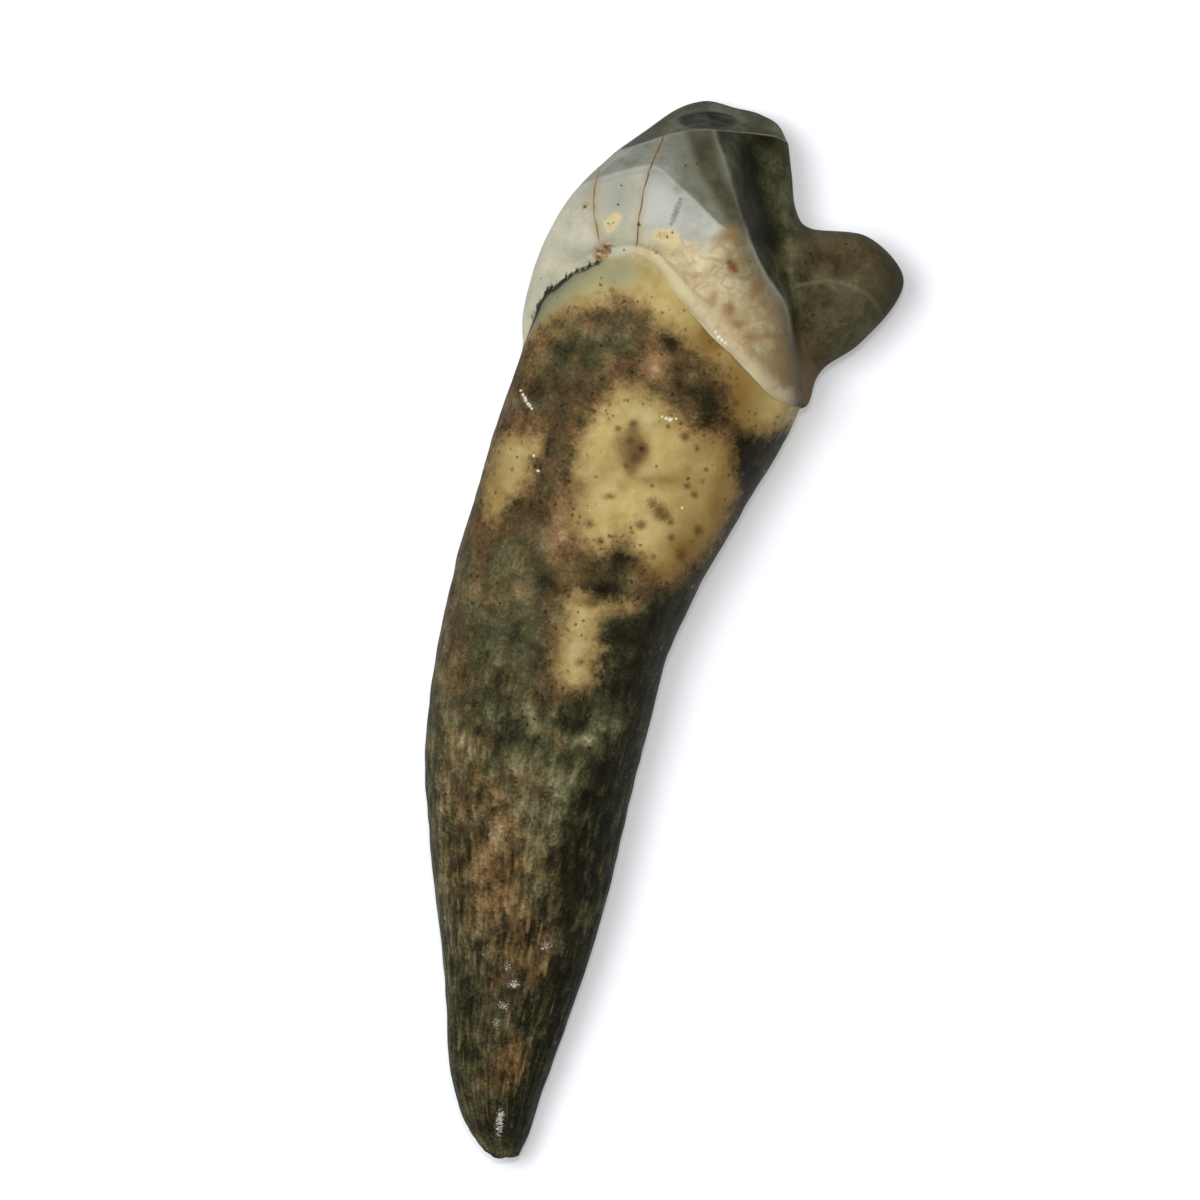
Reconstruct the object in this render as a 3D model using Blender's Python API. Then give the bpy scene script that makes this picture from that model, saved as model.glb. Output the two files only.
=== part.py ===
"""Fossil cave bear incisor, lying on its side.

The tooth grew as one piece, so it is one solid. It is worked out in millimetres in the tooth's own
axes, and written in metres. +Y runs from the root tip to the worn crown, +X from the lip side to the
tongue side, and +Z up from the surface that the tooth lies on. The origin is the middle of the
footprint, on that surface.

The skin is lofted through stations that fan out from the lip side: on the root they cross it squarely,
and on the crown each runs from the lip edge to its own point on the tongue-side outline. The station
called the neck follows the enamel's edge.
"""

import bmesh
import bpy
import numpy as np
from mathutils import Vector, noise

MM = 0.001

# Cells of the mesh: across the upper or lower side, down the lip or tongue side, and along each stretch
# between two stations.
CELLS_ACROSS = 20
CELLS_DEEP = 12
ROOT_CELLS = 2
CROWN_CELLS = 4

# Outline seen from above, root tip to crown: (lip side x, y, tongue side x, y), in mm.
ROOT_OUTLINE = [
    (-1.25, 0.15, 0.20, 0.25),
    (-2.00, 0.80, 0.40, 1.20),
    (-2.80, 1.95, 0.55, 2.75),
    (-3.50, 3.60, 0.80, 4.70),
    (-4.15, 6.05, 1.15, 7.25),
    (-5.10, 9.25, 1.50, 10.60),
    (-6.10, 12.05, 1.65, 13.70),
    (-7.00, 15.30, 1.70, 16.85),
    (-7.45, 18.20, 1.85, 19.70),
    (-7.60, 20.90, 1.95, 22.30),
    (-7.60, 23.35, 2.50, 24.85),
    (-7.45, 25.95, 3.40, 27.60),
    (-7.20, 28.55, 4.20, 30.00),
    (-7.00, 30.90, 4.85, 31.90),
    (-6.70, 33.40, 5.25, 33.50),
]
CROWN_OUTLINE = [
    (-6.80, 34.10, 5.80, 35.25),
    (-6.93, 34.70, 7.10, 36.60),
    (-6.96, 35.40, 8.15, 38.60),
    (-6.93, 36.20, 8.10, 39.95),
    (-6.82, 37.15, 6.40, 41.05),
    (-6.60, 38.30, 4.10, 40.88),
    (-6.22, 39.50, 3.30, 41.55),
    (-5.55, 40.95, 2.80, 42.95),
    (-4.55, 42.38, 2.35, 44.25),
]
STATIONS = ROOT_OUTLINE + CROWN_OUTLINE
NECK = len(ROOT_OUTLINE) - 1

# Profiles along the lip side: (height of the lip edge above the root tip, value), in mm.
THICKNESS = [
    (0.1, 1.2),
    (0.8, 1.9),
    (2.0, 2.8),
    (3.6, 3.5),
    (6.0, 4.3),
    (9.3, 5.2),
    (15.3, 6.4),
    (20.9, 7.0),
    (28.6, 7.4),
    (33.4, 8.1),
    (35.5, 8.9),
    (38.0, 8.7),
    (39.5, 8.1),
    (41.0, 6.9),
    (42.4, 5.2),
]
UNDERSIDE = [
    (0.2, 1.30),
    (3.6, 0.70),
    (9.3, 0.10),
    (12.5, -0.10),
    (16.0, -0.05),
    (20.9, 0.25),
    (28.6, 0.50),
    (33.4, 0.35),
    (35.5, 0.20),
    (38.0, 0.22),
    (40.0, 0.60),
    (42.4, 1.40),
]
# How far each section bows towards the crown, on the upper and on the lower side.
UPPER_ARCH = [
    (3.6, 0.0),
    (15.3, 0.3),
    (20.9, 1.1),
    (25.9, 2.2),
    (30.9, 4.1),
    (33.4, 4.8),
    (34.6, 3.8),
    (36.2, 2.9),
    (38.2, 2.5),
    (39.5, 1.7),
    (41.0, 1.0),
    (42.4, 0.7),
]
LOWER_ARCH = [
    (3.6, 0.0),
    (15.3, 0.3),
    (20.9, 1.0),
    (25.9, 2.0),
    (30.9, 3.7),
    (33.4, 4.4),
    (36.2, 3.1),
    (38.2, 2.6),
    (41.0, 2.0),
    (42.4, 2.0),
]
# Where the body of the crown ends and its tongue-side lobe begins, as a share of the section's width.
BODY_SHARE = [
    (30.9, 1.0),
    (33.4, 1.0),
    (34.1, 0.95),
    (34.7, 0.83),
    (35.4, 0.75),
    (36.2, 0.74),
    (37.15, 0.80),
    (38.3, 0.96),
    (39.5, 1.0),
]
# Half the thickness of that lobe.
LOBE_THICKNESS = [
    (26.0, 0.0),
    (30.9, 1.6),
    (33.4, 2.3),
    (34.7, 2.6),
    (37.15, 2.6),
    (38.3, 2.2),
    (39.5, 1.2),
    (41.0, 0.0),
]
# Height of the tongue-side edge above the surface.
TONGUE_EDGE_HEIGHT = [
    (0.2, 1.8),
    (6.0, 2.7),
    (15.3, 3.2),
    (20.9, 3.6),
    (28.6, 3.4),
    (34.6, 2.9),
    (38.2, 2.8),
    (42.4, 3.0),
]

# The bow's own shape, across the section from the lip edge: (place, share of its height), at the neck and
# at the worn edge.
NECK_ARCH = [
    (0.0, 0.0),
    (0.03, 0.44),
    (0.08, 0.65),
    (0.14, 0.80),
    (0.22, 0.92),
    (0.33, 1.0),
    (0.41, 0.94),
    (0.48, 0.78),
    (0.55, 0.63),
    (0.62, 0.49),
    (0.70, 0.36),
    (0.79, 0.21),
    (0.87, 0.07),
    (0.95, 0.0),
    (1.0, 0.0),
]
WORN_ARCH = [
    (0.0, 0.0),
    (0.15, 0.42),
    (0.3, 0.85),
    (0.45, 1.0),
    (0.65, 0.82),
    (0.82, 0.62),
    (0.95, 0.28),
    (1.0, 0.0),
]
WORN_ARCH_FROM = 38.0
SECTION_POWER = 2.25
LOBE_STATIONS = (NECK - 1.5, NECK + 1.5, NECK + 6, NECK + 8)
CREASE_COLUMN = 0.80
CREASE_LIMIT = 0.86
LOBE_HALF_LENGTH = 4.5
LOBE_ROOT = (0.35, 0.80)
LOBE_POWER = 2.4
BLEND_POWER = 5.0
# The enamel stands this far above the root, from this part of a station past the neck. It thins out
# towards the outline by this power.
ENAMEL_LEDGE = 0.26
LEDGE_STEP = 0.25
LEDGE_ROUNDING = 0.25
TIP_DOME = 0.25
WEAR_DISH = 0.18
# Height and size of the two kinds of unevenness: round lumps, and long low swells that run down the root.
LUMP_HEIGHT = 0.08
LUMP_SIZE = (3.5, 3.5, 3.5)
SWELL_HEIGHT = 0.22
SWELL_SIZE = (2.6, 11.0, 2.6)

# The two marginal ridges of the crown, on the upper and on the lower side, from the worn edge down, in
# mm. Past them, the tongue side is a wall.
NEAR_RIDGE = [(-2.8, 45.8), (0.7, 41.15), (2.05, 39.05), (3.5, 37.5), (4.2, 35.3), (4.65, 33.95)]
FAR_RIDGE = [(0.2, 45.8), (1.7, 42.6), (2.4, 41.1), (3.2, 39.7), (4.1, 38.2), (4.8, 36.0), (5.0, 34.5)]
WALL_DROP = 0.38
WALL_WIDTH = 1.5
WALL_HEIGHTS = (33.8, 36.5)

# Relief on the crown: (side, height, half width towards the lip side, and towards the tongue side, the
# line that it follows from the worn edge down), in mm.
UPPER, LOWER = 1, -1
FOSSA = [(1.2, 43.4), (1.8, 41.9), (2.7, 40.3), (3.4, 39.0), (4.0, 37.9), (4.5, 36.8)]
LIP_SHOULDER = [(-3.0, 42.0), (-1.5, 41.25), (0.6, 39.9), (1.3, 39.3), (2.6, 37.2), (4.0, 34.8)]
RELIEF = [
    (UPPER, 0.35, 0.9, 0.7, NEAR_RIDGE),
    (UPPER, -0.70, 0.8, 0.8, FOSSA),
    (UPPER, 0.16, 2.4, 1.0, LIP_SHOULDER),
    (LOWER, 0.35, 0.9, 0.7, FAR_RIDGE),
]
RIM_FADE = 0.45

TOOTH_COLOUR = (0.24, 0.20, 0.14, 1.0)
TOOTH_ROUGHNESS = 0.42


def smooth_curve(knots, at):
    """Values at the given places of a smooth curve through (place, value) knots."""
    place, value = np.array(knots, float).T
    slope = np.gradient(value, place)
    at = np.clip(at, place[0], place[-1])
    i = np.clip(np.searchsorted(place, at) - 1, 0, len(place) - 2)
    step = place[i + 1] - place[i]
    s = (at - place[i]) / step
    start = (2 * s**3 - 3 * s**2 + 1) * value[i] + (s**3 - 2 * s**2 + s) * step * slope[i]
    end = (3 * s**2 - 2 * s**3) * value[i + 1] + (s**3 - s**2) * step * slope[i + 1]
    return start + end


def smooth_step(low, high, x):
    s = np.clip((x - low) / (high - low), 0, 1)
    return s * s * (3 - 2 * s)


def smooth_max(a, b):
    return (a**BLEND_POWER + b**BLEND_POWER) ** (1 / BLEND_POWER)


def ring_stations():
    """Where the rings of the mesh lie, counted in stations: closer together on the crown."""
    root = np.arange(NECK * ROOT_CELLS) / ROOT_CELLS
    crown = NECK + np.arange(len(CROWN_OUTLINE) * CROWN_CELLS + 1) / CROWN_CELLS
    return np.concatenate([root, crown])


def box_mesh(cells_along):
    """A box from -1 to 1, cut into cells on all its sides."""
    bm = bmesh.new()
    bmesh.ops.create_cube(bm, size=2)
    for axis, cells in enumerate((CELLS_ACROSS, cells_along, CELLS_DEEP)):
        edges = [e for e in bm.edges if abs(e.verts[0].co[axis] - e.verts[1].co[axis]) > 0.01]
        bmesh.ops.subdivide_edges(bm, edges=edges, cuts=cells - 1, use_grid_fill=True)
    mesh = bpy.data.meshes.new("tooth")
    bm.to_mesh(mesh)
    bm.free()
    return mesh


def arch_shape(v, lip_y):
    """Share of the bow at v, from 0 on the lip edge to 1 on the far edge of the body."""
    worn = smooth_step(WORN_ARCH_FROM, STATIONS[-1][1], lip_y)
    neck_arch, worn_arch = smooth_curve(NECK_ARCH, v), smooth_curve(WORN_ARCH, v)
    return neck_arch + worn * (worn_arch - neck_arch)


def share_across(p, station, body_share):
    """How far across the section the column of vertices at p lies, from 0 to 1. Beside the lobe, one
    column runs down the crease between it and the body."""
    share = (1 + p) / 2
    starts, full, until, ends = LOBE_STATIONS
    beside_lobe = smooth_step(starts, full, station) * (1 - smooth_step(until, ends, station))
    crease = CREASE_COLUMN + beside_lobe * (np.minimum(body_share, CREASE_LIMIT) - CREASE_COLUMN)
    before = share / CREASE_COLUMN * crease
    after = 1 - (1 - share) / (1 - CREASE_COLUMN) * (1 - crease)
    return np.where(share < CREASE_COLUMN, before, after)


def distance_to_line(points, line):
    """Distance in plan from each point to a line that runs down through the given corners: above zero
    on its lip side, and below zero on its tongue side."""
    best = np.full(len(points), np.inf)
    for start, end in zip(line[:-1], line[1:]):
        start, along = np.array(start), np.subtract(end, start)
        gap = points[:, :2] - start
        share = np.clip(gap @ along / (along @ along), 0, 1)
        distance = np.hypot(*(gap - share[:, None] * along).T)
        side = np.where(gap[:, 0] * along[1] > gap[:, 1] * along[0], 1, -1)
        best = np.where(distance < np.abs(best), side * distance, best)
    return best


def rim_points(station, p, q):
    """Points on the tooth's skin at these stations, at the place (p, q) on the unit circle, where p
    runs from the lip side to the tongue side and q is up."""
    lip_x, lip_y, tongue_x, tongue_y = (
        smooth_curve(list(enumerate(column)), station) for column in zip(*STATIONS)
    )
    width = tongue_x - lip_x
    body_share = np.minimum(smooth_curve(BODY_SHARE, lip_y), 1)
    share = share_across(p, station, body_share)
    v = share / body_share
    arch = np.where(q > 0, smooth_curve(UPPER_ARCH, lip_y), smooth_curve(LOWER_ARCH, lip_y))
    x = lip_x + share * width
    y = lip_y + share * (tongue_y - lip_y) + arch * arch_shape(v, lip_y)

    bottom = smooth_curve(UNDERSIDE, lip_y)
    top = bottom + smooth_curve(THICKNESS, lip_y)
    tongue_edge = smooth_curve(TONGUE_EDGE_HEIGHT, lip_y)
    edge = (bottom + top) / 2 + (tongue_edge - (bottom + top) / 2) * smooth_step(0, 1, share)
    body = np.clip(1 - np.abs(2 * v - 1) ** SECTION_POWER, 0, 1) ** (1 / SECTION_POWER)
    depth = np.where(q > 0, top - edge, edge - bottom) * body
    for side, line in ((q > 0, NEAR_RIDGE), (q < 0, FAR_RIDGE)):
        past_ridge = smooth_step(0, WALL_WIDTH, -distance_to_line(np.stack([x, y], axis=1), line))
        depth *= 1 - WALL_DROP * side * past_ridge * smooth_step(*WALL_HEIGHTS, y)

    lobe = smooth_curve(LOBE_THICKNESS, lip_y) * smooth_step(*LOBE_ROOT, v)
    from_edge = np.clip(1 - (1 - share) * width / LOBE_HALF_LENGTH, 0, 1)
    depth = smooth_max(depth, lobe * (1 - from_edge**LOBE_POWER) ** (1 / LOBE_POWER))
    rounded = np.clip(1 - p**2, 0, 1) ** LEDGE_ROUNDING
    depth += ENAMEL_LEDGE * smooth_step(NECK, NECK + LEDGE_STEP, station) * rounded
    return np.stack([x, y, edge + np.sign(q) * depth], axis=1)


def skin_points(box):
    """The box's vertices, moved onto the tooth. Its four long sides become the skin, and its two ends
    the root tip and the worn top."""
    a, b, c = box.T
    rings = ring_stations()
    station = rings[np.rint((b + 1) / 2 * (len(rings) - 1)).astype(int)]
    p = a * np.sqrt(1 - c**2 / 2)
    q = c * np.sqrt(1 - a**2 / 2)
    radius = np.hypot(p, q)
    safe = np.maximum(radius, 1e-6)
    rim = rim_points(station, p / safe, q / safe)
    lip = rim_points(station, -np.ones_like(p), np.zeros_like(p))
    tongue = rim_points(station, np.ones_like(p), np.zeros_like(p))
    over = rim_points(station, np.zeros_like(p), np.ones_like(p))
    under = rim_points(station, np.zeros_like(p), -np.ones_like(p))
    centre = (lip + tongue + over + under) / 4
    points = centre + (rim - centre) * radius[:, None]
    inside = 1 - radius**2
    points[:, 1] -= np.where(b < 0, TIP_DOME, WEAR_DISH) * inside
    return points, q


def add_relief(points, q):
    """Raises the ridges and sinks the grooves, less and less towards the outline."""
    move = np.zeros(len(points))
    for side, height, lip_width, tongue_width, line in RELIEF:
        distance = distance_to_line(points, line)
        width = np.where(distance > 0, lip_width, tongue_width)
        move += side * height * np.exp(-((distance / width) ** 2)) * smooth_step(0, RIM_FADE, side * q)
    points[:, 2] += move


def add_lumps(points, q):
    """Gentle unevenness all over, moved out from the section's middle, and the swells, which leave the
    outline as it is."""
    middle = points.mean(axis=0)
    for i, point in enumerate(points):
        swell = SWELL_HEIGHT * noise.noise(Vector(point / SWELL_SIZE))
        bump = LUMP_HEIGHT * noise.noise(Vector(point / LUMP_SIZE))
        outwards = np.array([point[0] - middle[0], 0, point[2] - middle[2]])
        points[i] += bump * outwards / max(np.linalg.norm(outwards), 1)
        points[i, 2] += swell * q[i]


def shape(box):
    """The tooth's points in its own axes, pressed flat where it lies on the surface."""
    points, q = skin_points(box)
    add_relief(points, q)
    add_lumps(points, q)
    points[:, 2] = np.maximum(points[:, 2], 0)
    return points


def tooth_material():
    material = bpy.data.materials.new("tooth")
    material.use_nodes = True
    shader = material.node_tree.nodes["Principled BSDF"]
    shader.inputs["Base Color"].default_value = TOOTH_COLOUR
    shader.inputs["Roughness"].default_value = TOOTH_ROUGHNESS
    shader.inputs["Metallic"].default_value = 0.0
    return material


def make_tooth(collection):
    mesh = box_mesh(len(ring_stations()) - 1)
    points = shape(np.array([v.co for v in mesh.vertices]))
    middle = (points.min(axis=0) + points.max(axis=0)) / 2
    points[:, :2] -= middle[:2]
    mesh.vertices.foreach_set("co", (points * MM).ravel())
    mesh.update()
    mesh.shade_smooth()
    mesh.materials.append(tooth_material())
    tooth = bpy.data.objects.new("tooth", mesh)
    collection.objects.link(tooth)


def main():
    for obj in list(bpy.data.objects):
        bpy.data.objects.remove(obj)
    collection = bpy.data.collections.new("cave bear incisor")
    bpy.context.scene.collection.children.link(collection)
    make_tooth(collection)


main()
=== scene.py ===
import math

import bmesh
import bpy
import numpy as np
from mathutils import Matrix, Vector, noise


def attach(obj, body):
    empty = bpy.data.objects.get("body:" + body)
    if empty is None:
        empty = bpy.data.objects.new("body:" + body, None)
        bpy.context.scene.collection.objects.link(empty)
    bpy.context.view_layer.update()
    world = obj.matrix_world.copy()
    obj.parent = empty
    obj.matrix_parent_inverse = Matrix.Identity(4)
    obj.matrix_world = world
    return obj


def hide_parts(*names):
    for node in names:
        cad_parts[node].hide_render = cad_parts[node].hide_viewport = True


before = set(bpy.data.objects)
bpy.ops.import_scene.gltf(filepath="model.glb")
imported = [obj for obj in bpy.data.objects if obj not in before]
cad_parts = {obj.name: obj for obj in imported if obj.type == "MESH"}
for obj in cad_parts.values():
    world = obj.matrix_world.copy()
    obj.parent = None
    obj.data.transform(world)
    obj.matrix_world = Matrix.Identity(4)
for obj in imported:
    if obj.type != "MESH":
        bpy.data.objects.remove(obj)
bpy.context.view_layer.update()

MM = 0.001

# The shape of the tooth. It follows the solid's, with the near ridge, the wall beside the ridges and the
# relief of the crown a little nearer the photograph.

# Cells of the mesh: across the upper or lower side, down the lip or tongue side, and along each stretch
# between two stations.
CELLS_ACROSS = 64
CELLS_DEEP = 36
ROOT_CELLS = 17
CROWN_CELLS = 22

# Outline seen from above, root tip to crown: (lip side x, y, tongue side x, y), in mm.
ROOT_OUTLINE = [
    (-1.25, 0.15, 0.20, 0.25), (-2.00, 0.80, 0.40, 1.20), (-2.80, 1.95, 0.55, 2.75),
    (-3.50, 3.60, 0.80, 4.70), (-4.15, 6.05, 1.15, 7.25), (-5.10, 9.25, 1.50, 10.60),
    (-6.10, 12.05, 1.65, 13.70), (-7.00, 15.30, 1.70, 16.85), (-7.45, 18.20, 1.85, 19.70),
    (-7.60, 20.90, 1.95, 22.30), (-7.60, 23.35, 2.50, 24.85), (-7.45, 25.95, 3.40, 27.60),
    (-7.20, 28.55, 4.20, 30.00), (-7.00, 30.90, 4.85, 31.90), (-6.70, 33.40, 5.25, 33.50),
]
CROWN_OUTLINE = [
    (-6.80, 34.10, 5.80, 35.25), (-6.93, 34.70, 7.10, 36.60), (-6.96, 35.40, 8.15, 38.60),
    (-6.93, 36.20, 8.10, 39.95), (-6.82, 37.15, 6.40, 41.05), (-6.60, 38.30, 4.10, 40.88),
    (-6.22, 39.50, 3.30, 41.55), (-5.55, 40.95, 2.80, 42.95), (-4.55, 42.38, 2.35, 44.25),
]
STATIONS = ROOT_OUTLINE + CROWN_OUTLINE
NECK = len(ROOT_OUTLINE) - 1

# Profiles along the lip side: (height of the lip edge above the root tip, value), in mm.
THICKNESS = [
    (0.1, 1.2), (0.8, 1.9), (2.0, 2.8), (3.6, 3.5), (6.0, 4.3), (9.3, 5.2), (15.3, 6.4), (20.9, 7.0),
    (28.6, 7.4), (33.4, 8.1), (35.5, 8.9), (38.0, 8.7), (39.5, 8.1), (41.0, 6.9), (42.4, 5.2),
]
UNDERSIDE = [
    (0.2, 1.30), (3.6, 0.70), (9.3, 0.10), (12.5, -0.10), (16.0, -0.05), (20.9, 0.25), (28.6, 0.50),
    (33.4, 0.35), (35.5, 0.20), (38.0, 0.22), (40.0, 0.60), (42.4, 1.40),
]
# How far each section bows towards the crown, on the upper and on the lower side.
UPPER_ARCH = [
    (3.6, 0.0), (15.3, 0.3), (20.9, 1.1), (25.9, 2.2), (30.9, 4.1), (33.4, 4.8), (34.6, 3.8), (36.2, 2.9),
    (38.2, 2.5), (39.5, 1.7), (41.0, 1.0), (42.4, 0.7),
]
LOWER_ARCH = [
    (3.6, 0.0), (15.3, 0.3), (20.9, 1.0), (25.9, 2.0), (30.9, 3.7), (33.4, 4.4), (36.2, 3.1), (38.2, 2.6),
    (41.0, 2.0), (42.4, 2.0),
]
# Where the body of the crown ends and its tongue-side lobe begins, as a share of the section's width.
BODY_SHARE = [
    (30.9, 1.0), (33.4, 1.0), (34.1, 0.95), (34.7, 0.83), (35.4, 0.75), (36.2, 0.74), (37.15, 0.80),
    (38.3, 0.96), (39.5, 1.0),
]
# Half the thickness of that lobe.
LOBE_THICKNESS = [
    (26.0, 0.0), (30.9, 1.6), (33.4, 2.3), (34.7, 2.6), (37.15, 2.6), (38.3, 2.2), (39.5, 1.2),
    (41.0, 0.0),
]
# Height of the tongue-side edge above the surface.
TONGUE_EDGE_HEIGHT = [
    (0.2, 1.8), (6.0, 2.7), (15.3, 3.2), (20.9, 3.6), (28.6, 3.4), (34.6, 2.9), (38.2, 2.8), (42.4, 3.0),
]
# The bow's own shape, across the section from the lip edge: (place, share of its height), at the neck and
# at the worn edge.
NECK_ARCH = [
    (0.0, 0.0), (0.03, 0.44), (0.08, 0.65), (0.14, 0.80), (0.22, 0.92), (0.33, 1.0), (0.41, 0.94),
    (0.48, 0.78), (0.55, 0.63), (0.62, 0.49), (0.70, 0.36), (0.79, 0.21), (0.87, 0.07), (0.95, 0.0),
    (1.0, 0.0),
]
WORN_ARCH = [
    (0.0, 0.0), (0.15, 0.42), (0.3, 0.85), (0.45, 1.0), (0.65, 0.82), (0.82, 0.62), (0.95, 0.28),
    (1.0, 0.0),
]
WORN_ARCH_FROM = 38.0
SECTION_POWER = 2.25
# The middle of the tooth's footprint in the outline's own coordinates, in mm.
FOOTPRINT_MIDDLE = (0.372, 22.621)
LOBE_STATIONS = (NECK - 1.5, NECK + 1.5, NECK + 6, NECK + 8)
CREASE_COLUMN = 0.80
CREASE_LIMIT = 0.86
LOBE_HALF_LENGTH = 4.5
LOBE_ROOT = (0.35, 0.80)
LOBE_POWER = 2.4
BLEND_POWER = 5.0
TIP_DOME = 0.25
WEAR_DISH = 0.18

FAR_RIDGE = [(0.2, 45.8), (1.7, 42.6), (2.4, 41.1), (3.2, 39.7), (4.1, 38.2), (4.8, 36.0), (5.0, 34.5)]
WALL_DROP = 0.38
WALL_WIDTH = 1.2
WALL_HEIGHTS = (33.8, 36.5)
UPPER, LOWER = 1, -1
FOSSA = [(1.2, 43.4), (1.8, 41.9), (2.7, 40.3), (3.4, 39.0), (4.0, 37.9), (4.5, 36.8)]
RIM_FADE = 0.45
LUMP_HEIGHT = 0.08
LUMP_SIZE = (3.5, 3.5, 3.5)
SWELL_HEIGHT = 0.22
SWELL_SIZE = (2.6, 11.0, 2.6)


def smooth_curve(knots, at):
    place, value = np.array(knots, float).T
    slope = np.gradient(value, place)
    at = np.clip(at, place[0], place[-1])
    i = np.clip(np.searchsorted(place, at) - 1, 0, len(place) - 2)
    step = place[i + 1] - place[i]
    s = (at - place[i]) / step
    start = (2 * s**3 - 3 * s**2 + 1) * value[i] + (s**3 - 2 * s**2 + s) * step * slope[i]
    end = (3 * s**2 - 2 * s**3) * value[i + 1] + (s**3 - s**2) * step * slope[i + 1]
    return start + end


def smooth_step(low, high, x):
    s = np.clip((x - low) / (high - low), 0, 1)
    return s * s * (3 - 2 * s)


PIXEL = 0.042
PHOTO_TILT = math.radians(12)
PHOTO_TIP = (513, 1161)
PHOTO_MIDDLE = (600, 600)


def to_pixels(points):
    """Where points of the tooth, in mm, lie in the photograph."""
    x = points[:, 0] * math.cos(PHOTO_TILT) + points[:, 1] * math.sin(PHOTO_TILT)
    y = points[:, 1] * math.cos(PHOTO_TILT) - points[:, 0] * math.sin(PHOTO_TILT)
    return np.stack([PHOTO_TIP[0] + x / PIXEL, PHOTO_TIP[1] - y / PIXEL], axis=1)


def to_mm(px, py):
    dx, dy = (px - PHOTO_TIP[0]) * PIXEL, (PHOTO_TIP[1] - py) * PIXEL
    x = dx * math.cos(PHOTO_TILT) - dy * math.sin(PHOTO_TILT)
    return x, dx * math.sin(PHOTO_TILT) + dy * math.cos(PHOTO_TILT)


def smooth_line(places, pieces=8):
    """A smooth line in mm through places in the photograph."""
    knots = np.array([to_mm(*place) for place in places])
    at = np.linspace(0, len(knots) - 1, (len(knots) - 1) * pieces + 1)
    return [tuple(point) for point in np.stack([
        smooth_curve(list(enumerate(column)), at) for column in knots.T], axis=1)]


NEAR_RIDGE = smooth_line([
    (712, 128), (719, 150), (726, 172), (733, 195), (739, 218), (745, 240), (752, 258), (760, 273),
    (770, 287), (779, 300), (784, 316), (786, 335), (787, 355), (788, 375), (788, 392), (786, 408)])
# The edge of the worn facet, along which the enamel turns from white to grey.
FACET_EDGE = smooth_line([
    (570, 197), (585, 186), (600, 181), (616, 176), (635, 171), (652, 168), (663, 174), (676, 187),
    (690, 199), (704, 213), (717, 227), (728, 242)])
FLANGE_CREST = smooth_line([(717, 227), (735, 255), (752, 290), (765, 330), (775, 370)])
RELIEF = [
    (UPPER, 0.32, 0.8, 0.45, NEAR_RIDGE),
    (UPPER, 0.10, 0.30, 0.20, NEAR_RIDGE),
    (UPPER, -0.70, 0.8, 0.8, FOSSA),
    (UPPER, 0.13, 1.6, 0.8, FACET_EDGE),
    (UPPER, 0.13, 2.0, 0.9, FLANGE_CREST),
    (LOWER, 0.35, 0.8, 0.6, FAR_RIDGE),
]


def ring_stations():
    root = np.arange(NECK * ROOT_CELLS) / ROOT_CELLS
    crown = NECK + np.arange(len(CROWN_OUTLINE) * CROWN_CELLS + 1) / CROWN_CELLS
    return np.concatenate([root, crown])


def box_mesh(cells_along):
    bm = bmesh.new()
    bmesh.ops.create_cube(bm, size=2)
    for axis, cells in enumerate((CELLS_ACROSS, cells_along, CELLS_DEEP)):
        edges = [e for e in bm.edges if abs(e.verts[0].co[axis] - e.verts[1].co[axis]) > 0.01]
        bmesh.ops.subdivide_edges(bm, edges=edges, cuts=cells - 1, use_grid_fill=True)
    mesh = bpy.data.meshes.new("tooth_surface")
    bm.to_mesh(mesh)
    bm.free()
    return mesh


def arch_shape(v, lip_y):
    worn = smooth_step(WORN_ARCH_FROM, STATIONS[-1][1], lip_y)
    neck_arch, worn_arch = smooth_curve(NECK_ARCH, v), smooth_curve(WORN_ARCH, v)
    return neck_arch + worn * (worn_arch - neck_arch)


def share_across(p, station, body_share):
    share = (1 + p) / 2
    starts, full, until, ends = LOBE_STATIONS
    beside_lobe = smooth_step(starts, full, station) * (1 - smooth_step(until, ends, station))
    crease = CREASE_COLUMN + beside_lobe * (np.minimum(body_share, CREASE_LIMIT) - CREASE_COLUMN)
    before = share / CREASE_COLUMN * crease
    after = 1 - (1 - share) / (1 - CREASE_COLUMN) * (1 - crease)
    return np.where(share < CREASE_COLUMN, before, after)


def distance_to_line(points, line):
    best = np.full(len(points), np.inf)
    for start, end in zip(line[:-1], line[1:]):
        start, along = np.array(start), np.subtract(end, start)
        gap = points[:, :2] - start
        share = np.clip(gap @ along / (along @ along), 0, 1)
        distance = np.hypot(*(gap - share[:, None] * along).T)
        side = np.where(gap[:, 0] * along[1] > gap[:, 1] * along[0], 1, -1)
        best = np.where(distance < np.abs(best), side * distance, best)
    return best


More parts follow.
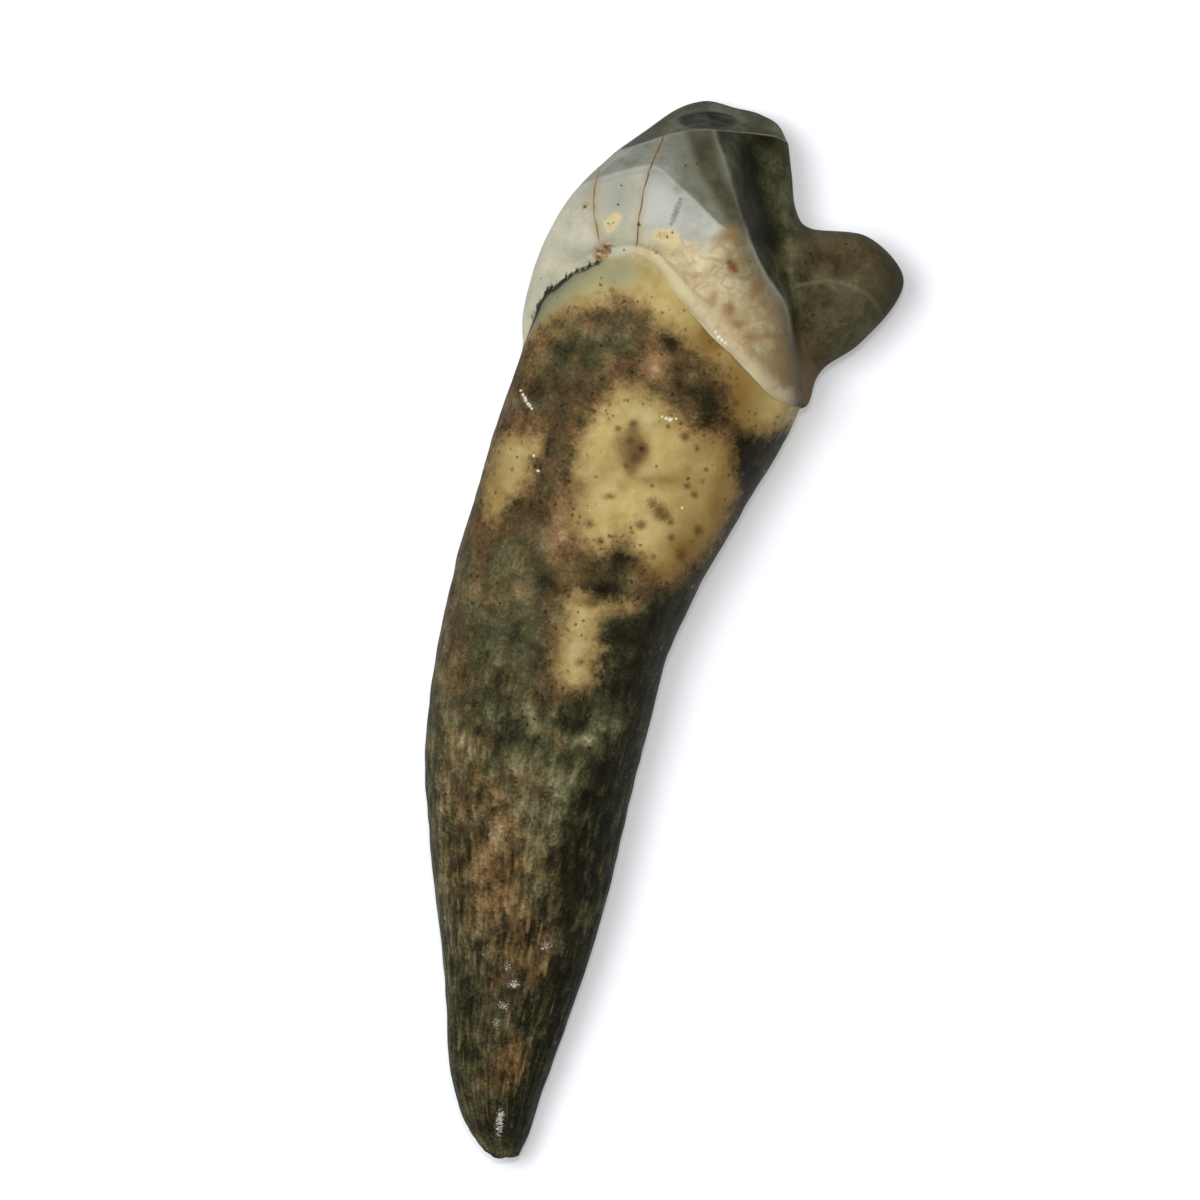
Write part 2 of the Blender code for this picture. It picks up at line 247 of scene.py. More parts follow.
def rim_points(station, p, q):
    lip_x, lip_y, tongue_x, tongue_y = (
        smooth_curve(list(enumerate(column)), station) for column in zip(*STATIONS)
    )
    width = tongue_x - lip_x
    body_share = np.minimum(smooth_curve(BODY_SHARE, lip_y), 1)
    share = share_across(p, station, body_share)
    v = share / body_share
    arch = np.where(q > 0, smooth_curve(UPPER_ARCH, lip_y), smooth_curve(LOWER_ARCH, lip_y))
    x = lip_x + share * width
    y = lip_y + share * (tongue_y - lip_y) + arch * arch_shape(v, lip_y)

    bottom = smooth_curve(UNDERSIDE, lip_y)
    top = bottom + smooth_curve(THICKNESS, lip_y)
    tongue_edge = smooth_curve(TONGUE_EDGE_HEIGHT, lip_y)
    edge = (bottom + top) / 2 + (tongue_edge - (bottom + top) / 2) * smooth_step(0, 1, share)
    body = np.clip(1 - np.abs(2 * v - 1) ** SECTION_POWER, 0, 1) ** (1 / SECTION_POWER)
    depth = np.where(q > 0, top - edge, edge - bottom) * body
    for side, line in ((q > 0, NEAR_RIDGE), (q < 0, FAR_RIDGE)):
        past_ridge = smooth_step(0, WALL_WIDTH, -distance_to_line(np.stack([x, y], axis=1), line))
        depth *= 1 - WALL_DROP * side * past_ridge * smooth_step(*WALL_HEIGHTS, y)

    lobe = smooth_curve(LOBE_THICKNESS, lip_y) * smooth_step(*LOBE_ROOT, v)
    from_edge = np.clip(1 - (1 - share) * width / LOBE_HALF_LENGTH, 0, 1)
    lobe *= (1 - from_edge**LOBE_POWER) ** (1 / LOBE_POWER)
    depth = (depth**BLEND_POWER + lobe**BLEND_POWER) ** (1 / BLEND_POWER)
    return np.stack([x, y, edge + np.sign(q) * depth], axis=1)


def skin_points(box):
    """The vertices on the tooth, their stations, and their places p, q on the section's unit circle."""
    a, b, c = box.T
    rings = ring_stations()
    station = rings[np.rint((b + 1) / 2 * (len(rings) - 1)).astype(int)]
    p = a * np.sqrt(1 - c**2 / 2)
    q = c * np.sqrt(1 - a**2 / 2)
    radius = np.hypot(p, q)
    safe = np.maximum(radius, 1e-6)
    rim = rim_points(station, p / safe, q / safe)
    ends = ((-1.0, 0.0), (1.0, 0.0), (0.0, 1.0), (0.0, -1.0))
    centre = sum(rim_points(station, np.full_like(p, x), np.full_like(p, y)) for x, y in ends) / 4
    points = centre + (rim - centre) * radius[:, None]
    inside = 1 - radius**2
    points[:, 1] -= np.where(b < 0, TIP_DOME, WEAR_DISH) * inside
    return points, station, p, q, centre


def add_relief(points, q):
    move = np.zeros(len(points))
    for side, height, lip_width, tongue_width, line in RELIEF:
        distance = distance_to_line(points, line)
        width = np.where(distance > 0, lip_width, tongue_width)
        move += side * height * np.exp(-((distance / width) ** 2)) * smooth_step(0, RIM_FADE, side * q)
    points[:, 2] += move


def noise_at(points, size):
    """Smooth noise from about -1 to 1 at each point, with lumps of this size in mm."""
    scaled = points / size
    return np.array([noise.noise(Vector(point)) for point in scaled])


def add_lumps(points, q):
    middle = points.mean(axis=0)
    outwards = (points - middle) * (1, 0, 1)
    outwards /= np.maximum(np.linalg.norm(outwards, axis=1), 1)[:, None]
    swell = SWELL_HEIGHT * noise_at(points, np.array(SWELL_SIZE))
    points += LUMP_HEIGHT * noise_at(points, np.array(LUMP_SIZE))[:, None] * outwards
    points[:, 2] += swell * q


# Outlines of the colour areas on the upper side, in the photograph's pixels. First the pale dentine that
# shows through the dark crust.
PALE_BAND = [
    (490, 352), (526, 343), (545, 326), (565, 316), (585, 312), (614, 302), (633, 303), (649, 318),
    (662, 331), (681, 335), (692, 350), (708, 360), (722, 376), (731, 398), (733, 420), (744, 434),
    (768, 434), (800, 425), (810, 380), (700, 240), (600, 220), (500, 270),
]
BIG_PATCH = [
    (618, 386), (640, 384), (662, 400), (680, 416), (697, 431), (712, 438), (724, 436), (731, 452),
    (734, 474), (737, 493), (731, 508), (722, 528), (712, 546), (698, 562), (680, 574), (662, 578),
    (645, 568), (632, 552), (624, 538), (612, 548), (598, 556), (585, 545), (572, 528), (570, 508),
    (576, 484), (572, 466), (578, 446), (586, 424), (600, 404),
]
LEFT_PATCH = [
    (500, 436), (520, 434), (539, 438), (544, 448), (534, 466), (530, 482), (516, 494), (505, 508),
    (494, 520), (485, 516), (484, 490), (489, 466), (494, 448),
]
SMALL_PATCH = [
    (566, 600), (574, 590), (584, 594), (598, 602), (616, 602), (634, 606), (638, 612), (622, 610),
    (604, 613), (600, 626), (596, 640), (602, 650), (592, 658), (598, 668), (592, 682), (576, 690),
    (562, 684), (554, 668), (556, 644), (562, 622),
]
# The dark side of the root, towards the tongue: partly its own dark stain, partly painted shade.
SHADED_SIDE = [
    (760, 432), (738, 440), (738, 490), (728, 515), (718, 545), (702, 568), (684, 588), (655, 594),
    (646, 612), (612, 618), (602, 640), (612, 668), (604, 692), (576, 700), (572, 722), (586, 738),
    (606, 744), (592, 770), (574, 800), (566, 840), (556, 868), (566, 910), (560, 950), (545, 985),
    (526, 1000), (536, 1060), (516, 1090), (512, 1140), (530, 1180), (700, 1180), (860, 432),
]
# The thick light border of the enamel above the lobe, with the marbled area that it frames.
FLANGE = [
    (622, 262), (640, 292), (672, 325), (705, 358), (740, 395), (775, 430), (812, 420), (812, 392),
    (798, 372), (789, 345), (786, 318), (776, 298), (762, 276), (751, 256), (743, 234), (736, 226),
    (722, 234), (704, 250), (690, 240), (676, 240), (658, 242), (640, 244), (626, 252),
]
WORN_FACET = [
    (560, 204), (585, 186), (600, 181), (616, 176), (635, 171), (652, 168), (663, 174), (676, 187),
    (690, 199), (704, 213), (717, 226), (732, 236), (760, 230), (760, 60), (560, 60),
]
DARK_STREAK = [
    (684, 128), (690, 146), (694, 160), (701, 176), (711, 192), (719, 207), (727, 222), (738, 236),
    (748, 240), (742, 216), (733, 196), (724, 180), (719, 165), (716, 150), (712, 128),
]
WHITE_PATCH = [
    (652, 170), (663, 175), (676, 188), (677, 202), (675, 216), (668, 228), (648, 226), (644, 212),
    (646, 192),
]
ENAMEL_AREAS = {"flange": FLANGE, "facet": WORN_FACET, "streak": DARK_STREAK, "white": WHITE_PATCH}
CREASE = smooth_line([
    (790, 180), (793, 215), (797, 250), (798, 285), (800, 320), (806, 350), (820, 372), (830, 400)])
LOBE_FOLD = smooth_line([(796, 286), (812, 283), (830, 281), (850, 286), (868, 296), (880, 312)])
CRACKS = {
    "crack_a": smooth_line([
        (666, 134), (659, 150), (651, 169), (646, 184), (642, 203), (639, 222), (637, 248)]),
    "crack_b": smooth_line([(600, 168), (598, 180), (595, 193), (595, 212), (597, 226), (600, 244)]),
}
DENTINE_PIT = (707, 120, 31, 9)

# Soft marks on the upper side, in pixels: (x, y, radius along x, radius along y, strength). The dark and
# light marks are partly the tooth's own tone, partly painted shade on darkened edges and painted
# highlights on lit rims and crests.
MARKS = {
    "brown": [
        (508, 520, 10, 10, 0.3), (660, 514, 9, 9, 0.6), (609, 497, 7, 3, 0.5), (640, 452, 9, 10, 0.5),
        (684, 545, 10, 10, 0.3), (716, 505, 8, 30, 0.3), (580, 601, 14, 5, 0.5), (630, 445, 20, 18, 0.8),
        (632, 464, 10, 9, 0.4), (630, 472, 7, 7, 0.35), (644, 481, 14, 6, 0.35), (634, 426, 7, 10, 0.4),
        (660, 424, 12, 6, 0.3), (666, 480, 12, 6, 0.35), (685, 437, 7, 7, 0.35), (655, 470, 30, 14, 0.12),
        (634, 562, 9, 9, 0.7), (655, 572, 9, 7, 0.5), (598, 543, 8, 5, 0.4), (680, 552, 7, 9, 0.45),
        (580, 662, 6, 5, 0.7), (592, 604, 8, 6, 0.6), (556, 640, 5, 24, 0.7), (565, 580, 12, 10, 0.6),
        (592, 672, 5, 6, 0.5), (732, 457, 6, 8, 0.9), (735, 430, 12, 10, 0.8), (585, 520, 8, 14, 0.35),
        (610, 496, 9, 5, 0.3), (579, 490, 10, 12, 0.4), (640, 388, 30, 6, 0.3), (731, 268, 9, 9, 0.5),
        (728, 234, 12, 10, 0.65), (712, 240, 14, 4, 0.35), (713, 296, 6, 10, 0.7), (728, 308, 7, 10, 0.9),
        (738, 324, 11, 6, 0.8), (756, 337, 18, 5, 0.7), (750, 290, 7, 12, 0.5), (757, 284, 8, 7, 0.4),
        (748, 350, 6, 14, 0.55), (768, 312, 12, 12, 0.4), (776, 345, 8, 22, 0.4), (696, 278, 5, 9, 0.4),
        (700, 262, 12, 4, 0.3), (590, 200, 7, 14, 0.3), (585, 208, 4, 4, 0.6), (748, 204, 9, 18, 0.25),
        (760, 300, 8, 10, 0.3),
    ],
    "yellow": [
        (610, 227, 9, 10, 0.9), (617, 218, 6, 7, 0.7), (659, 236, 8, 7, 0.9), (674, 243, 8, 9, 0.9),
        (668, 234, 12, 6, 0.5),
    ],
    # Darker: partly the tooth's own dark stains, partly painted shade along the edges.
    "dark": [
        (592, 782, 14, 24, 0.4), (574, 815, 10, 24, 0.5), (545, 965, 10, 20, 0.4),
        (490, 1085, 10, 14, 0.3), (566, 905, 10, 30, 0.4), (655, 665, 12, 30, 0.3),
        (515, 640, 20, 14, 0.2), (745, 440, 10, 50, 0.9), (505, 632, 16, 16, 0.3), (598, 668, 9, 16, 0.8),
        (538, 878, 12, 14, 0.4), (500, 1040, 14, 30, 0.4), (766, 133, 10, 16, 0.9), (676, 192, 6, 6, 0.4),
        (806, 300, 8, 30, 0.5), (699, 400, 15, 20, 0.75), (712, 420, 10, 14, 0.6), (668, 344, 10, 9, 0.6),
        (682, 344, 8, 7, 0.5), (680, 366, 10, 14, 0.45), (538, 392, 14, 12, 0.45),
        (559, 430, 10, 10, 0.6), (562, 352, 22, 18, 0.3), (604, 590, 20, 10, 0.7),
        (600, 572, 14, 18, 0.6), (622, 556, 8, 16, 0.6), (525, 505, 24, 24, 0.3), (545, 575, 12, 14, 0.5),
        (560, 460, 10, 20, 0.25), (578, 716, 24, 14, 0.5), (500, 700, 34, 30, 0.25),
        (480, 575, 20, 16, 0.2), (505, 730, 30, 16, 0.3), (500, 1120, 26, 40, 0.4),
        (465, 1030, 14, 50, 0.35), (452, 860, 10, 30, 0.3), (520, 1010, 26, 22, 0.25),
        (768, 238, 16, 12, 1.1), (750, 160, 10, 36, 0.45), (752, 190, 8, 20, 0.4), (676, 216, 3, 9, 0.5),
        (690, 190, 14, 5, 0.25), (588, 262, 10, 10, 0.35), (808, 262, 10, 26, 0.35),
        (820, 318, 14, 22, 0.3), (706, 148, 12, 14, 0.5), (774, 430, 18, 12, 1.0), (790, 418, 8, 14, 0.8),
        (640, 562, 26, 10, 0.4), (712, 408, 10, 12, 0.3), (470, 985, 14, 40, 0.3),
    ],
    # Lighter: partly the tooth's own pale tone, partly painted highlights on the root's left rim and
    # along the ridge.
    "light": [
        (445, 690, 10, 20, 0.5), (480, 575, 20, 14, 0.2), (535, 728, 14, 10, 0.4),
        (530, 580, 14, 16, 0.35), (535, 724, 18, 15, 0.5), (500, 730, 14, 12, 0.4),
        (472, 752, 16, 18, 0.4), (520, 814, 28, 20, 0.35), (443, 875, 8, 20, 0.4),
        (784, 210, 12, 36, 0.7), (660, 128, 16, 8, 0.8), (658, 361, 12, 12, 0.9), (545, 352, 12, 20, 0.6),
        (694, 378, 16, 7, 0.4), (564, 500, 16, 30, 0.5), (556, 470, 10, 20, 0.2), (480, 900, 14, 16, 0.6),
        (610, 350, 20, 22, 0.2), (645, 376, 24, 9, 0.5), (533, 425, 12, 8, 0.4), (560, 540, 14, 24, 0.5),
        (497, 590, 30, 24, 0.45), (604, 728, 14, 8, 0.5), (586, 739, 12, 7, 1.7), (525, 708, 7, 9, 0.8),
        (532, 726, 6, 9, 0.8), (461, 741, 9, 8, 0.7), (520, 690, 10, 10, 0.4), (606, 716, 20, 16, 1.0),
        (616, 730, 12, 12, 0.5), (555, 780, 26, 34, 0.5), (556, 810, 14, 12, 0.5),
        (480, 760, 22, 20, 0.35), (522, 830, 22, 44, 0.6), (482, 860, 14, 34, 0.5),
        (525, 884, 20, 16, 0.6), (500, 915, 20, 14, 0.4), (545, 948, 9, 10, 0.7), (543, 966, 8, 8, 0.8),
        (500, 955, 14, 12, 0.4), (515, 1060, 8, 16, 0.55), (537, 1022, 5, 18, 0.6),
        (498, 1035, 6, 30, 0.4), (490, 1088, 8, 18, 0.4), (447, 770, 9, 110, 0.35),
        (468, 945, 10, 16, 0.4), (448, 940, 6, 60, 0.3), (778, 140, 12, 50, 0.25), (792, 270, 6, 56, 0.6),
        (779, 300, 12, 40, 0.9), (770, 265, 10, 20, 0.3), (730, 165, 9, 40, 0.6), (655, 132, 22, 8, 0.9),
        (700, 262, 12, 10, 0.6), (740, 288, 12, 9, 0.6), (758, 325, 16, 6, 0.3), (781, 404, 9, 8, 0.7),
        (850, 300, 40, 30, 0.2), (700, 405, 10, 8, 0.2),
    ],
    "warm": [
        (480, 860, 50, 140, 0.4), (700, 350, 30, 40, 0.3), (455, 640, 22, 60, 0.6),
        (505, 590, 30, 30, 0.35), (470, 545, 14, 30, 0.4), (560, 735, 14, 20, 0.3),
        (530, 700, 12, 14, 0.3), (528, 356, 22, 34, 0.8), (545, 400, 50, 30, 0.3),
        (657, 361, 20, 16, 0.8), (735, 440, 18, 40, 1.0), (686, 338, 14, 10, 0.7), (718, 380, 8, 26, 0.7),
        (565, 545, 26, 50, 0.8), (500, 428, 26, 18, 0.7), (480, 520, 12, 26, 0.5),
        (495, 590, 30, 34, 0.25), (445, 740, 20, 130, 0.35), (505, 870, 44, 80, 0.7),
        (525, 960, 36, 50, 0.7), (515, 1058, 16, 30, 1.2), (490, 1085, 26, 50, 0.6),
        (556, 660, 12, 30, 0.9), (660, 575, 30, 18, 0.8), (590, 890, 30, 60, 0.4),
        (640, 372, 50, 20, 0.5), (555, 1030, 20, 30, 0.3), (850, 255, 44, 22, 0.9),
        (812, 370, 16, 40, 0.7), (798, 345, 12, 34, 0.6), (800, 385, 12, 22, 0.8),
        (838, 372, 14, 10, 0.6),
    ],
    "fringe_and_shade": [
        (531, 324, 12, 14, 1.2), (540, 306, 12, 12, 1.2), (553, 292, 12, 10, 1.1), (568, 281, 12, 9, 0.9),
        (585, 270, 12, 8, 0.9), (597, 262, 7, 6, 0.6),
    ],
    "crumbs": [
        (600, 262, 12, 6, 1.0), (628, 258, 18, 4, 0.8), (612, 244, 9, 4, 0.7),
    ],
    "pitted": [
        (600, 256, 9, 8, 1.0), (607, 248, 7, 6, 0.8),
    ],
    "grey": [
        (575, 285, 50, 34, 1.0), (622, 282, 20, 30, 0.9), (545, 310, 24, 16, 0.8),
    ],
    "cool": [
        (575, 640, 24, 46, 0.8), (512, 458, 26, 28, 0.6), (640, 412, 22, 18, 0.6),
        (545, 300, 30, 14, 0.4), (622, 192, 24, 26, 0.9), (608, 222, 26, 22, 0.5),
        (585, 190, 14, 16, 0.5), (690, 215, 12, 18, 0.8), (600, 250, 30, 10, 0.3),
    ],
    "clear": [
        (664, 276, 26, 26, 1.2), (637, 259, 28, 13, 1.0), (690, 304, 13, 15, 0.6),
    ],
    "gloss": [
        (499, 1126, 6, 17, 1.0), (502, 1114, 4, 7, 0.5), (514, 984, 10, 6, 1.0), (503, 1005, 8, 7, 1.0),
        (508, 966, 6, 5, 1.0), (497, 1023, 6, 6, 1.0), (546, 946, 8, 6, 1.0), (669, 419, 8, 5, 1.0),
        (682, 509, 5, 7, 1.0),
    ],
    # Ochre marks: partly the dentine's own ochre, partly painted shade on the right side and under the
    # thick enamel border.
    "ochre_and_shade": [
        (712, 338, 14, 14, 1.2), (716, 510, 12, 30, 0.4), (590, 485, 16, 16, 0.45),
        (655, 482, 40, 10, 0.3), (700, 450, 20, 14, 0.3), (735, 395, 34, 50, 1.2),
        (512, 470, 24, 30, 0.35), (545, 300, 24, 14, 0.3), (700, 330, 20, 30, 0.4),
        (700, 500, 36, 60, 0.5), (690, 555, 30, 30, 0.9), (560, 515, 20, 30, 0.7), (560, 318, 30, 8, 0.5),
        (655, 350, 40, 30, 0.3), (495, 480, 8, 40, 0.5), (730, 480, 14, 50, 0.5), (660, 575, 30, 16, 0.5),
    ],
}
# Small crisp spots: (x, y, radius).
DARK_SPOTS = [
    (639, 226, 3), (541, 279, 1.5), (618, 206, 2), (621, 187, 1.8), (585, 208, 2.6), (608, 225, 1.6),
    (613, 224, 1.4), (667, 238, 2.2), (672, 234, 2.2), (656, 254, 1.8), (624, 251, 2), (801, 277, 2.6),
    (801, 288, 2), (801, 330, 2.2), (697, 165, 1.8), (685, 167, 1.6), (765, 180, 1.4), (810, 254, 2.5),
    (846, 244, 2.2), (855, 251, 1.8), (875, 312, 1.8), (838, 322, 1.5), (641, 449, 3.4),
]
BROWN_SPOTS = [
    (642, 449, 9), (653, 504, 10), (659, 510, 12), (665, 516, 11), (670, 522, 7), (641, 525, 9),
    (685, 437, 8), (687, 486, 6), (694, 495, 6), (698, 531, 9), (671, 538, 6), (633, 424, 6),
    (618, 429, 5), (630, 441, 7), (635, 458, 9), (626, 466, 5), (628, 401, 3), (606, 411, 3),
    (706, 470, 4), (697, 449, 5), (668, 427, 4), (652, 486, 4), (590, 524, 7), (600, 541, 7),
    (681, 556, 9),
]
ORANGE_SPOTS = [(729, 264, 6), (732, 268, 8), (734, 271, 6)]
GREY_SPOTS = [
    (680, 201, 3), (679, 205, 4), (677, 209, 4.5), (676, 213, 4.5), (674, 217, 4.5), (673, 221, 4),
    (671, 225, 3),
]
# Painted highlights: small pale glints, some in a row like a scratch, painted into the colour.
PAINTED_GLINTS = [
    (521, 391, 1.6), (523, 395, 2.2), (525, 398, 2.6), (526, 401, 2.6), (528, 404, 2.4), (530, 406, 2.4),
    (532, 409, 2), (662, 417, 1.5), (666, 419, 2.2), (670, 420, 3.2), (676, 419, 1.8), (682, 508, 1.8),
    (715, 333, 2), (718, 338, 2.8), (721, 341, 2.6), (725, 344, 2.6), (534, 456, 1.8), (538, 471, 2),
]


def polygon_distance(points, corners):
    """Signed distance in plan to a closed outline: above zero inside."""
    inside = np.zeros(len(points), bool)
    best = np.full(len(points), np.inf)
    x, y = points.T
    for (x1, y1), (x2, y2) in zip(corners, corners[1:] + corners[:1]):
        dx, dy = x2 - x1, y2 - y1
        share = np.clip(((x - x1) * dx + (y - y1) * dy) / (dx * dx + dy * dy), 0, 1)
        best = np.minimum(best, np.hypot(x - x1 - share * dx, y - y1 - share * dy))
        crosses = (y1 > y) != (y2 > y)
        at = x1 + (y - y1) / (y2 - y1 if y2 != y1 else 1) * dx
        inside ^= crosses & (x < at)
    return np.where(inside, best, -best)


def area_distance(pixels, *outlines):
    """Signed distance in mm to the nearest of some areas: above zero inside."""
    return np.max([polygon_distance(pixels, corners) for corners in outlines], axis=0) * PIXEL


def soft_marks(pixels, places):
    total = np.zeros(len(pixels))
    for x, y, across, down, strength in places:
        squared = ((pixels[:, 0] - x) / across) ** 2 + ((pixels[:, 1] - y) / down) ** 2
        total += strength * np.exp(-squared)
    return np.clip(total, 0, 2)


def distance_to_curve(points, curve, most=4.0):
    """Distance in space from each point to a curve of close points, up to a limit."""
    distance = np.full(len(points), most)
    low, high = curve.min(axis=0) - most, curve.max(axis=0) + most
    near = np.flatnonzero(((points > low) & (points < high)).all(axis=1))
    for part in np.array_split(near, max(1, len(near) // 2000)):
        gaps = np.linalg.norm(points[part, None] - curve[None], axis=2).min(axis=1)
        distance[part] = np.minimum(distance[part], gaps)
    return distance


def long_line_distance(points, line):
    """Signed distance to a line's own shape carried on past its ends."""
    first, last = np.array(line[0]), np.array(line[-1])
    before = first + (first - np.array(line[1])) * 20
    after = last + (last - np.array(line[-2])) * 20
    return distance_to_line(points, [tuple(before)] + list(line) + [tuple(after)])


# Detail of the surface.

# How far the enamel stands above the root, and the light border more than that. The step is rounded over
# LEDGE_ROUND, and lower on the worn end.
ENAMEL_LEDGE = 0.05
FLANGE_LEDGE = 0.26
LEDGE_ROUND = 0.45
# Fills the hollow beside the margin at the top of its arch: height, middle and half width, in mm.
ARCH_FILL = (0.19, 0.2, 0.6)
MARGIN_WOBBLE = 0.08
END_LEDGE_SHARE = 0.3
PIT_COUNT = 260
PIT_SEED = 7
PIT_RADIUS = (0.08, 0.22)
PIT_DEPTH = (0.02, 0.06)
GRAIN_HEIGHT = 0.035
# Places for the root's grain are wound on a cylinder of this radius, in mm.
GRAIN_RADIUS = 5
# Unevenness: (height, size of its lumps), in mm.
ROOT_UNEVEN = (0.03, 0.9)
ENAMEL_UNEVEN = (0.02, 1.3)
PITTED_UNEVEN = (0.16, 0.22)
PITTED_DEPTH = 0.14


def enamel_distance(points, station):
    """Signed distance along the skin from the enamel's margin, above zero on the enamel."""
    angle = np.linspace(0, 2 * math.pi, 720, endpoint=False)
    p, q = -np.cos(angle), np.sin(angle)
    margin = rim_points(np.full(len(p), float(NECK)), p, np.where(q == 0, 1e-6, q))
    return np.where(station >= NECK, 1, -1) * distance_to_curve(points, margin)


def pits(points, root):
    """Small dents scattered over the root."""
    rng = np.random.default_rng(PIT_SEED)
    depth = np.zeros(len(points))
    on_root = np.flatnonzero(root > 0.3)
    for i in rng.choice(on_root, PIT_COUNT, replace=False):
        radius = rng.uniform(*PIT_RADIUS)
        gap = np.linalg.norm(points - points[i], axis=1)
        depth += rng.uniform(*PIT_DEPTH) * np.exp(-((gap / radius) ** 2))
    return depth


def surface_values(points, pixels, near, enamel):
    """What the material needs to know at each point."""
    upper = near > 0
    pale = area_distance(pixels, PALE_BAND, BIG_PATCH, LEFT_PATCH, SMALL_PATCH)
    far_pale = 1.5 + 0.75 * enamel + 1.6 * noise_at(points + 11, 4.5)
    far_pale = np.maximum(far_pale, 1.5 * noise_at(points + 31, 3.5) - 0.45 - 0.1 * (30 - points[:, 1]))
    values = {
        "near": near,
        "enamel": enamel,
        "pale": near * pale + (1 - near) * far_pale,
        "shaded": near * area_distance(pixels, SHADED_SIDE) - 1.5 * (1 - near),
        "ridge": distance_to_line(points, NEAR_RIDGE),
        "lobe": -long_line_distance(points, CREASE),
        "fold": distance_to_line(points, LOBE_FOLD),
        "height": points[:, 1],
    }
    for name, outline in ENAMEL_AREAS.items():
        values[name] = np.where(upper, area_distance(pixels, outline), -3)
    for name, places in MARKS.items():
        values[name] = near * soft_marks(pixels, places)
    for name, line in CRACKS.items():
        (first_x, first_y), (last_x, last_y) = line[0], line[-1]
        within = polygon_distance(points[:, :2], [
            (first_x - 0.8, first_y), (first_x + 0.8, first_y),
            (last_x + 0.8, last_y), (last_x - 0.8, last_y)])
        values[name] = long_line_distance(points, line)
        values[name + "_on"] = smooth_step(-0.1, 0.3, within) * upper
    return values


def build_surface():
    """The mesh, its points in mm, the values for the material, and the places for the root's grain."""
    mesh = box_mesh(len(ring_stations()) - 1)
    box = np.zeros(len(mesh.vertices) * 3)
    mesh.vertices.foreach_get("co", box)
    end_face = box[1::3] > 0.999
    points, station, p, q, centre = skin_points(box.reshape(-1, 3))
    add_relief(points, q)
    add_lumps(points, q)
    mesh.vertices.foreach_set("co", points.ravel())
    mesh.update()
    normals = np.zeros(len(points) * 3)
    mesh.vertex_normals.foreach_get("vector", normals)
    normals = normals.reshape(-1, 3)

    pixels = to_pixels(points)
    near = smooth_step(-0.45, -0.05, q)
    enamel = enamel_distance(points, station)
    enamel += MARGIN_WOBBLE * (noise_at(points, 0.5) + 0.5 * noise_at(points, 0.17))
    values = surface_values(points, pixels, near, enamel)

    ledge = ENAMEL_LEDGE + FLANGE_LEDGE * smooth_step(-0.6, 0.8, values["flange"])
    ledge *= 1 - np.minimum(values["clear"], 1)
    rise = np.clip(enamel / LEDGE_ROUND, 0, 1)
    move = ledge * np.sqrt(1 - (1 - rise) ** 2)
    move *= np.where(end_face, END_LEDGE_SHARE, 1)
    fill, middle, half_width = ARCH_FILL
    move += fill * np.minimum(values["clear"], 1) * np.exp(-(((enamel - middle) / half_width) ** 2))
    root = smooth_step(0.15, -0.2, enamel)
    angle = np.arctan2(q, p)
    grain = np.stack([GRAIN_RADIUS * np.cos(angle), GRAIN_RADIUS * np.sin(angle), centre[:, 1]], axis=1)
    streaks = noise_at(grain * (1, 1, 0.16), 0.5) + 0.35 * noise_at(grain * (1, 1, 0.25) + 40, 0.22)
    move += root * GRAIN_HEIGHT * streaks * smooth_step(34, 28, points[:, 1])
    move += root * (ROOT_UNEVEN[0] * noise_at(points, ROOT_UNEVEN[1]) - pits(points, root))
    move += values["pitted"] * (PITTED_UNEVEN[0] * noise_at(points, PITTED_UNEVEN[1]) - PITTED_DEPTH)
    move += ENAMEL_UNEVEN[0] * noise_at(points, ENAMEL_UNEVEN[1]) * (1 - root)
    points += normals * move[:, None]
    points[:, 2] = np.maximum(points[:, 2], 0)

    inwards = (1 - np.hypot(p, q)) * 4
    below = len(STATIONS) - 1 - station
    values["worn"] = np.where(end_face, inwards, -below)
    dx, dy = pixels[:, 0] - DENTINE_PIT[0], pixels[:, 1] - DENTINE_PIT[1]
    values["dentine"] = np.where(end_face, 1 - np.hypot(dx / DENTINE_PIT[2], dy / DENTINE_PIT[3]), -1)
    return mesh, points - (*FOOTPRINT_MIDDLE, 0), values, grain


def new_object(name, data):
    """An object for this mesh, light or camera, put in the scene."""
    made = bpy.data.objects.new(name, data)
    bpy.context.scene.collection.objects.link(made)
    return made


def make_tooth():
    mesh, points, values, grain = build_surface()
    mesh.vertices.foreach_set("co", (points * MM).ravel())
    for name, value in values.items():
        attribute = mesh.attributes.new(name, "FLOAT", "POINT")
        attribute.data.foreach_set("value", np.clip(value, -50, 50).astype(np.float32))
    attribute = mesh.attributes.new("grain", "FLOAT_VECTOR", "POINT")
    attribute.data.foreach_set("vector", grain.astype(np.float32).ravel())
    mesh.update()
    mesh.shade_smooth()
    tooth = new_object("tooth_surface", mesh)
    mesh.materials.append(tooth_material())
    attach(tooth, "root")
    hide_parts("tooth")


# The material.

SPECULAR_LEVEL = 0.12
SPECULAR_TINT = (1, 0.94, 0.84, 1)


def colour(text):
    """A colour written as in paint programs, made linear."""
    parts = [int(text[i:i + 2], 16) / 255 for i in (1, 3, 5)]
    return tuple(c / 12.92 if c < 0.04045 else ((c + 0.055) / 1.055) ** 2.4 for c in parts) + (1,)


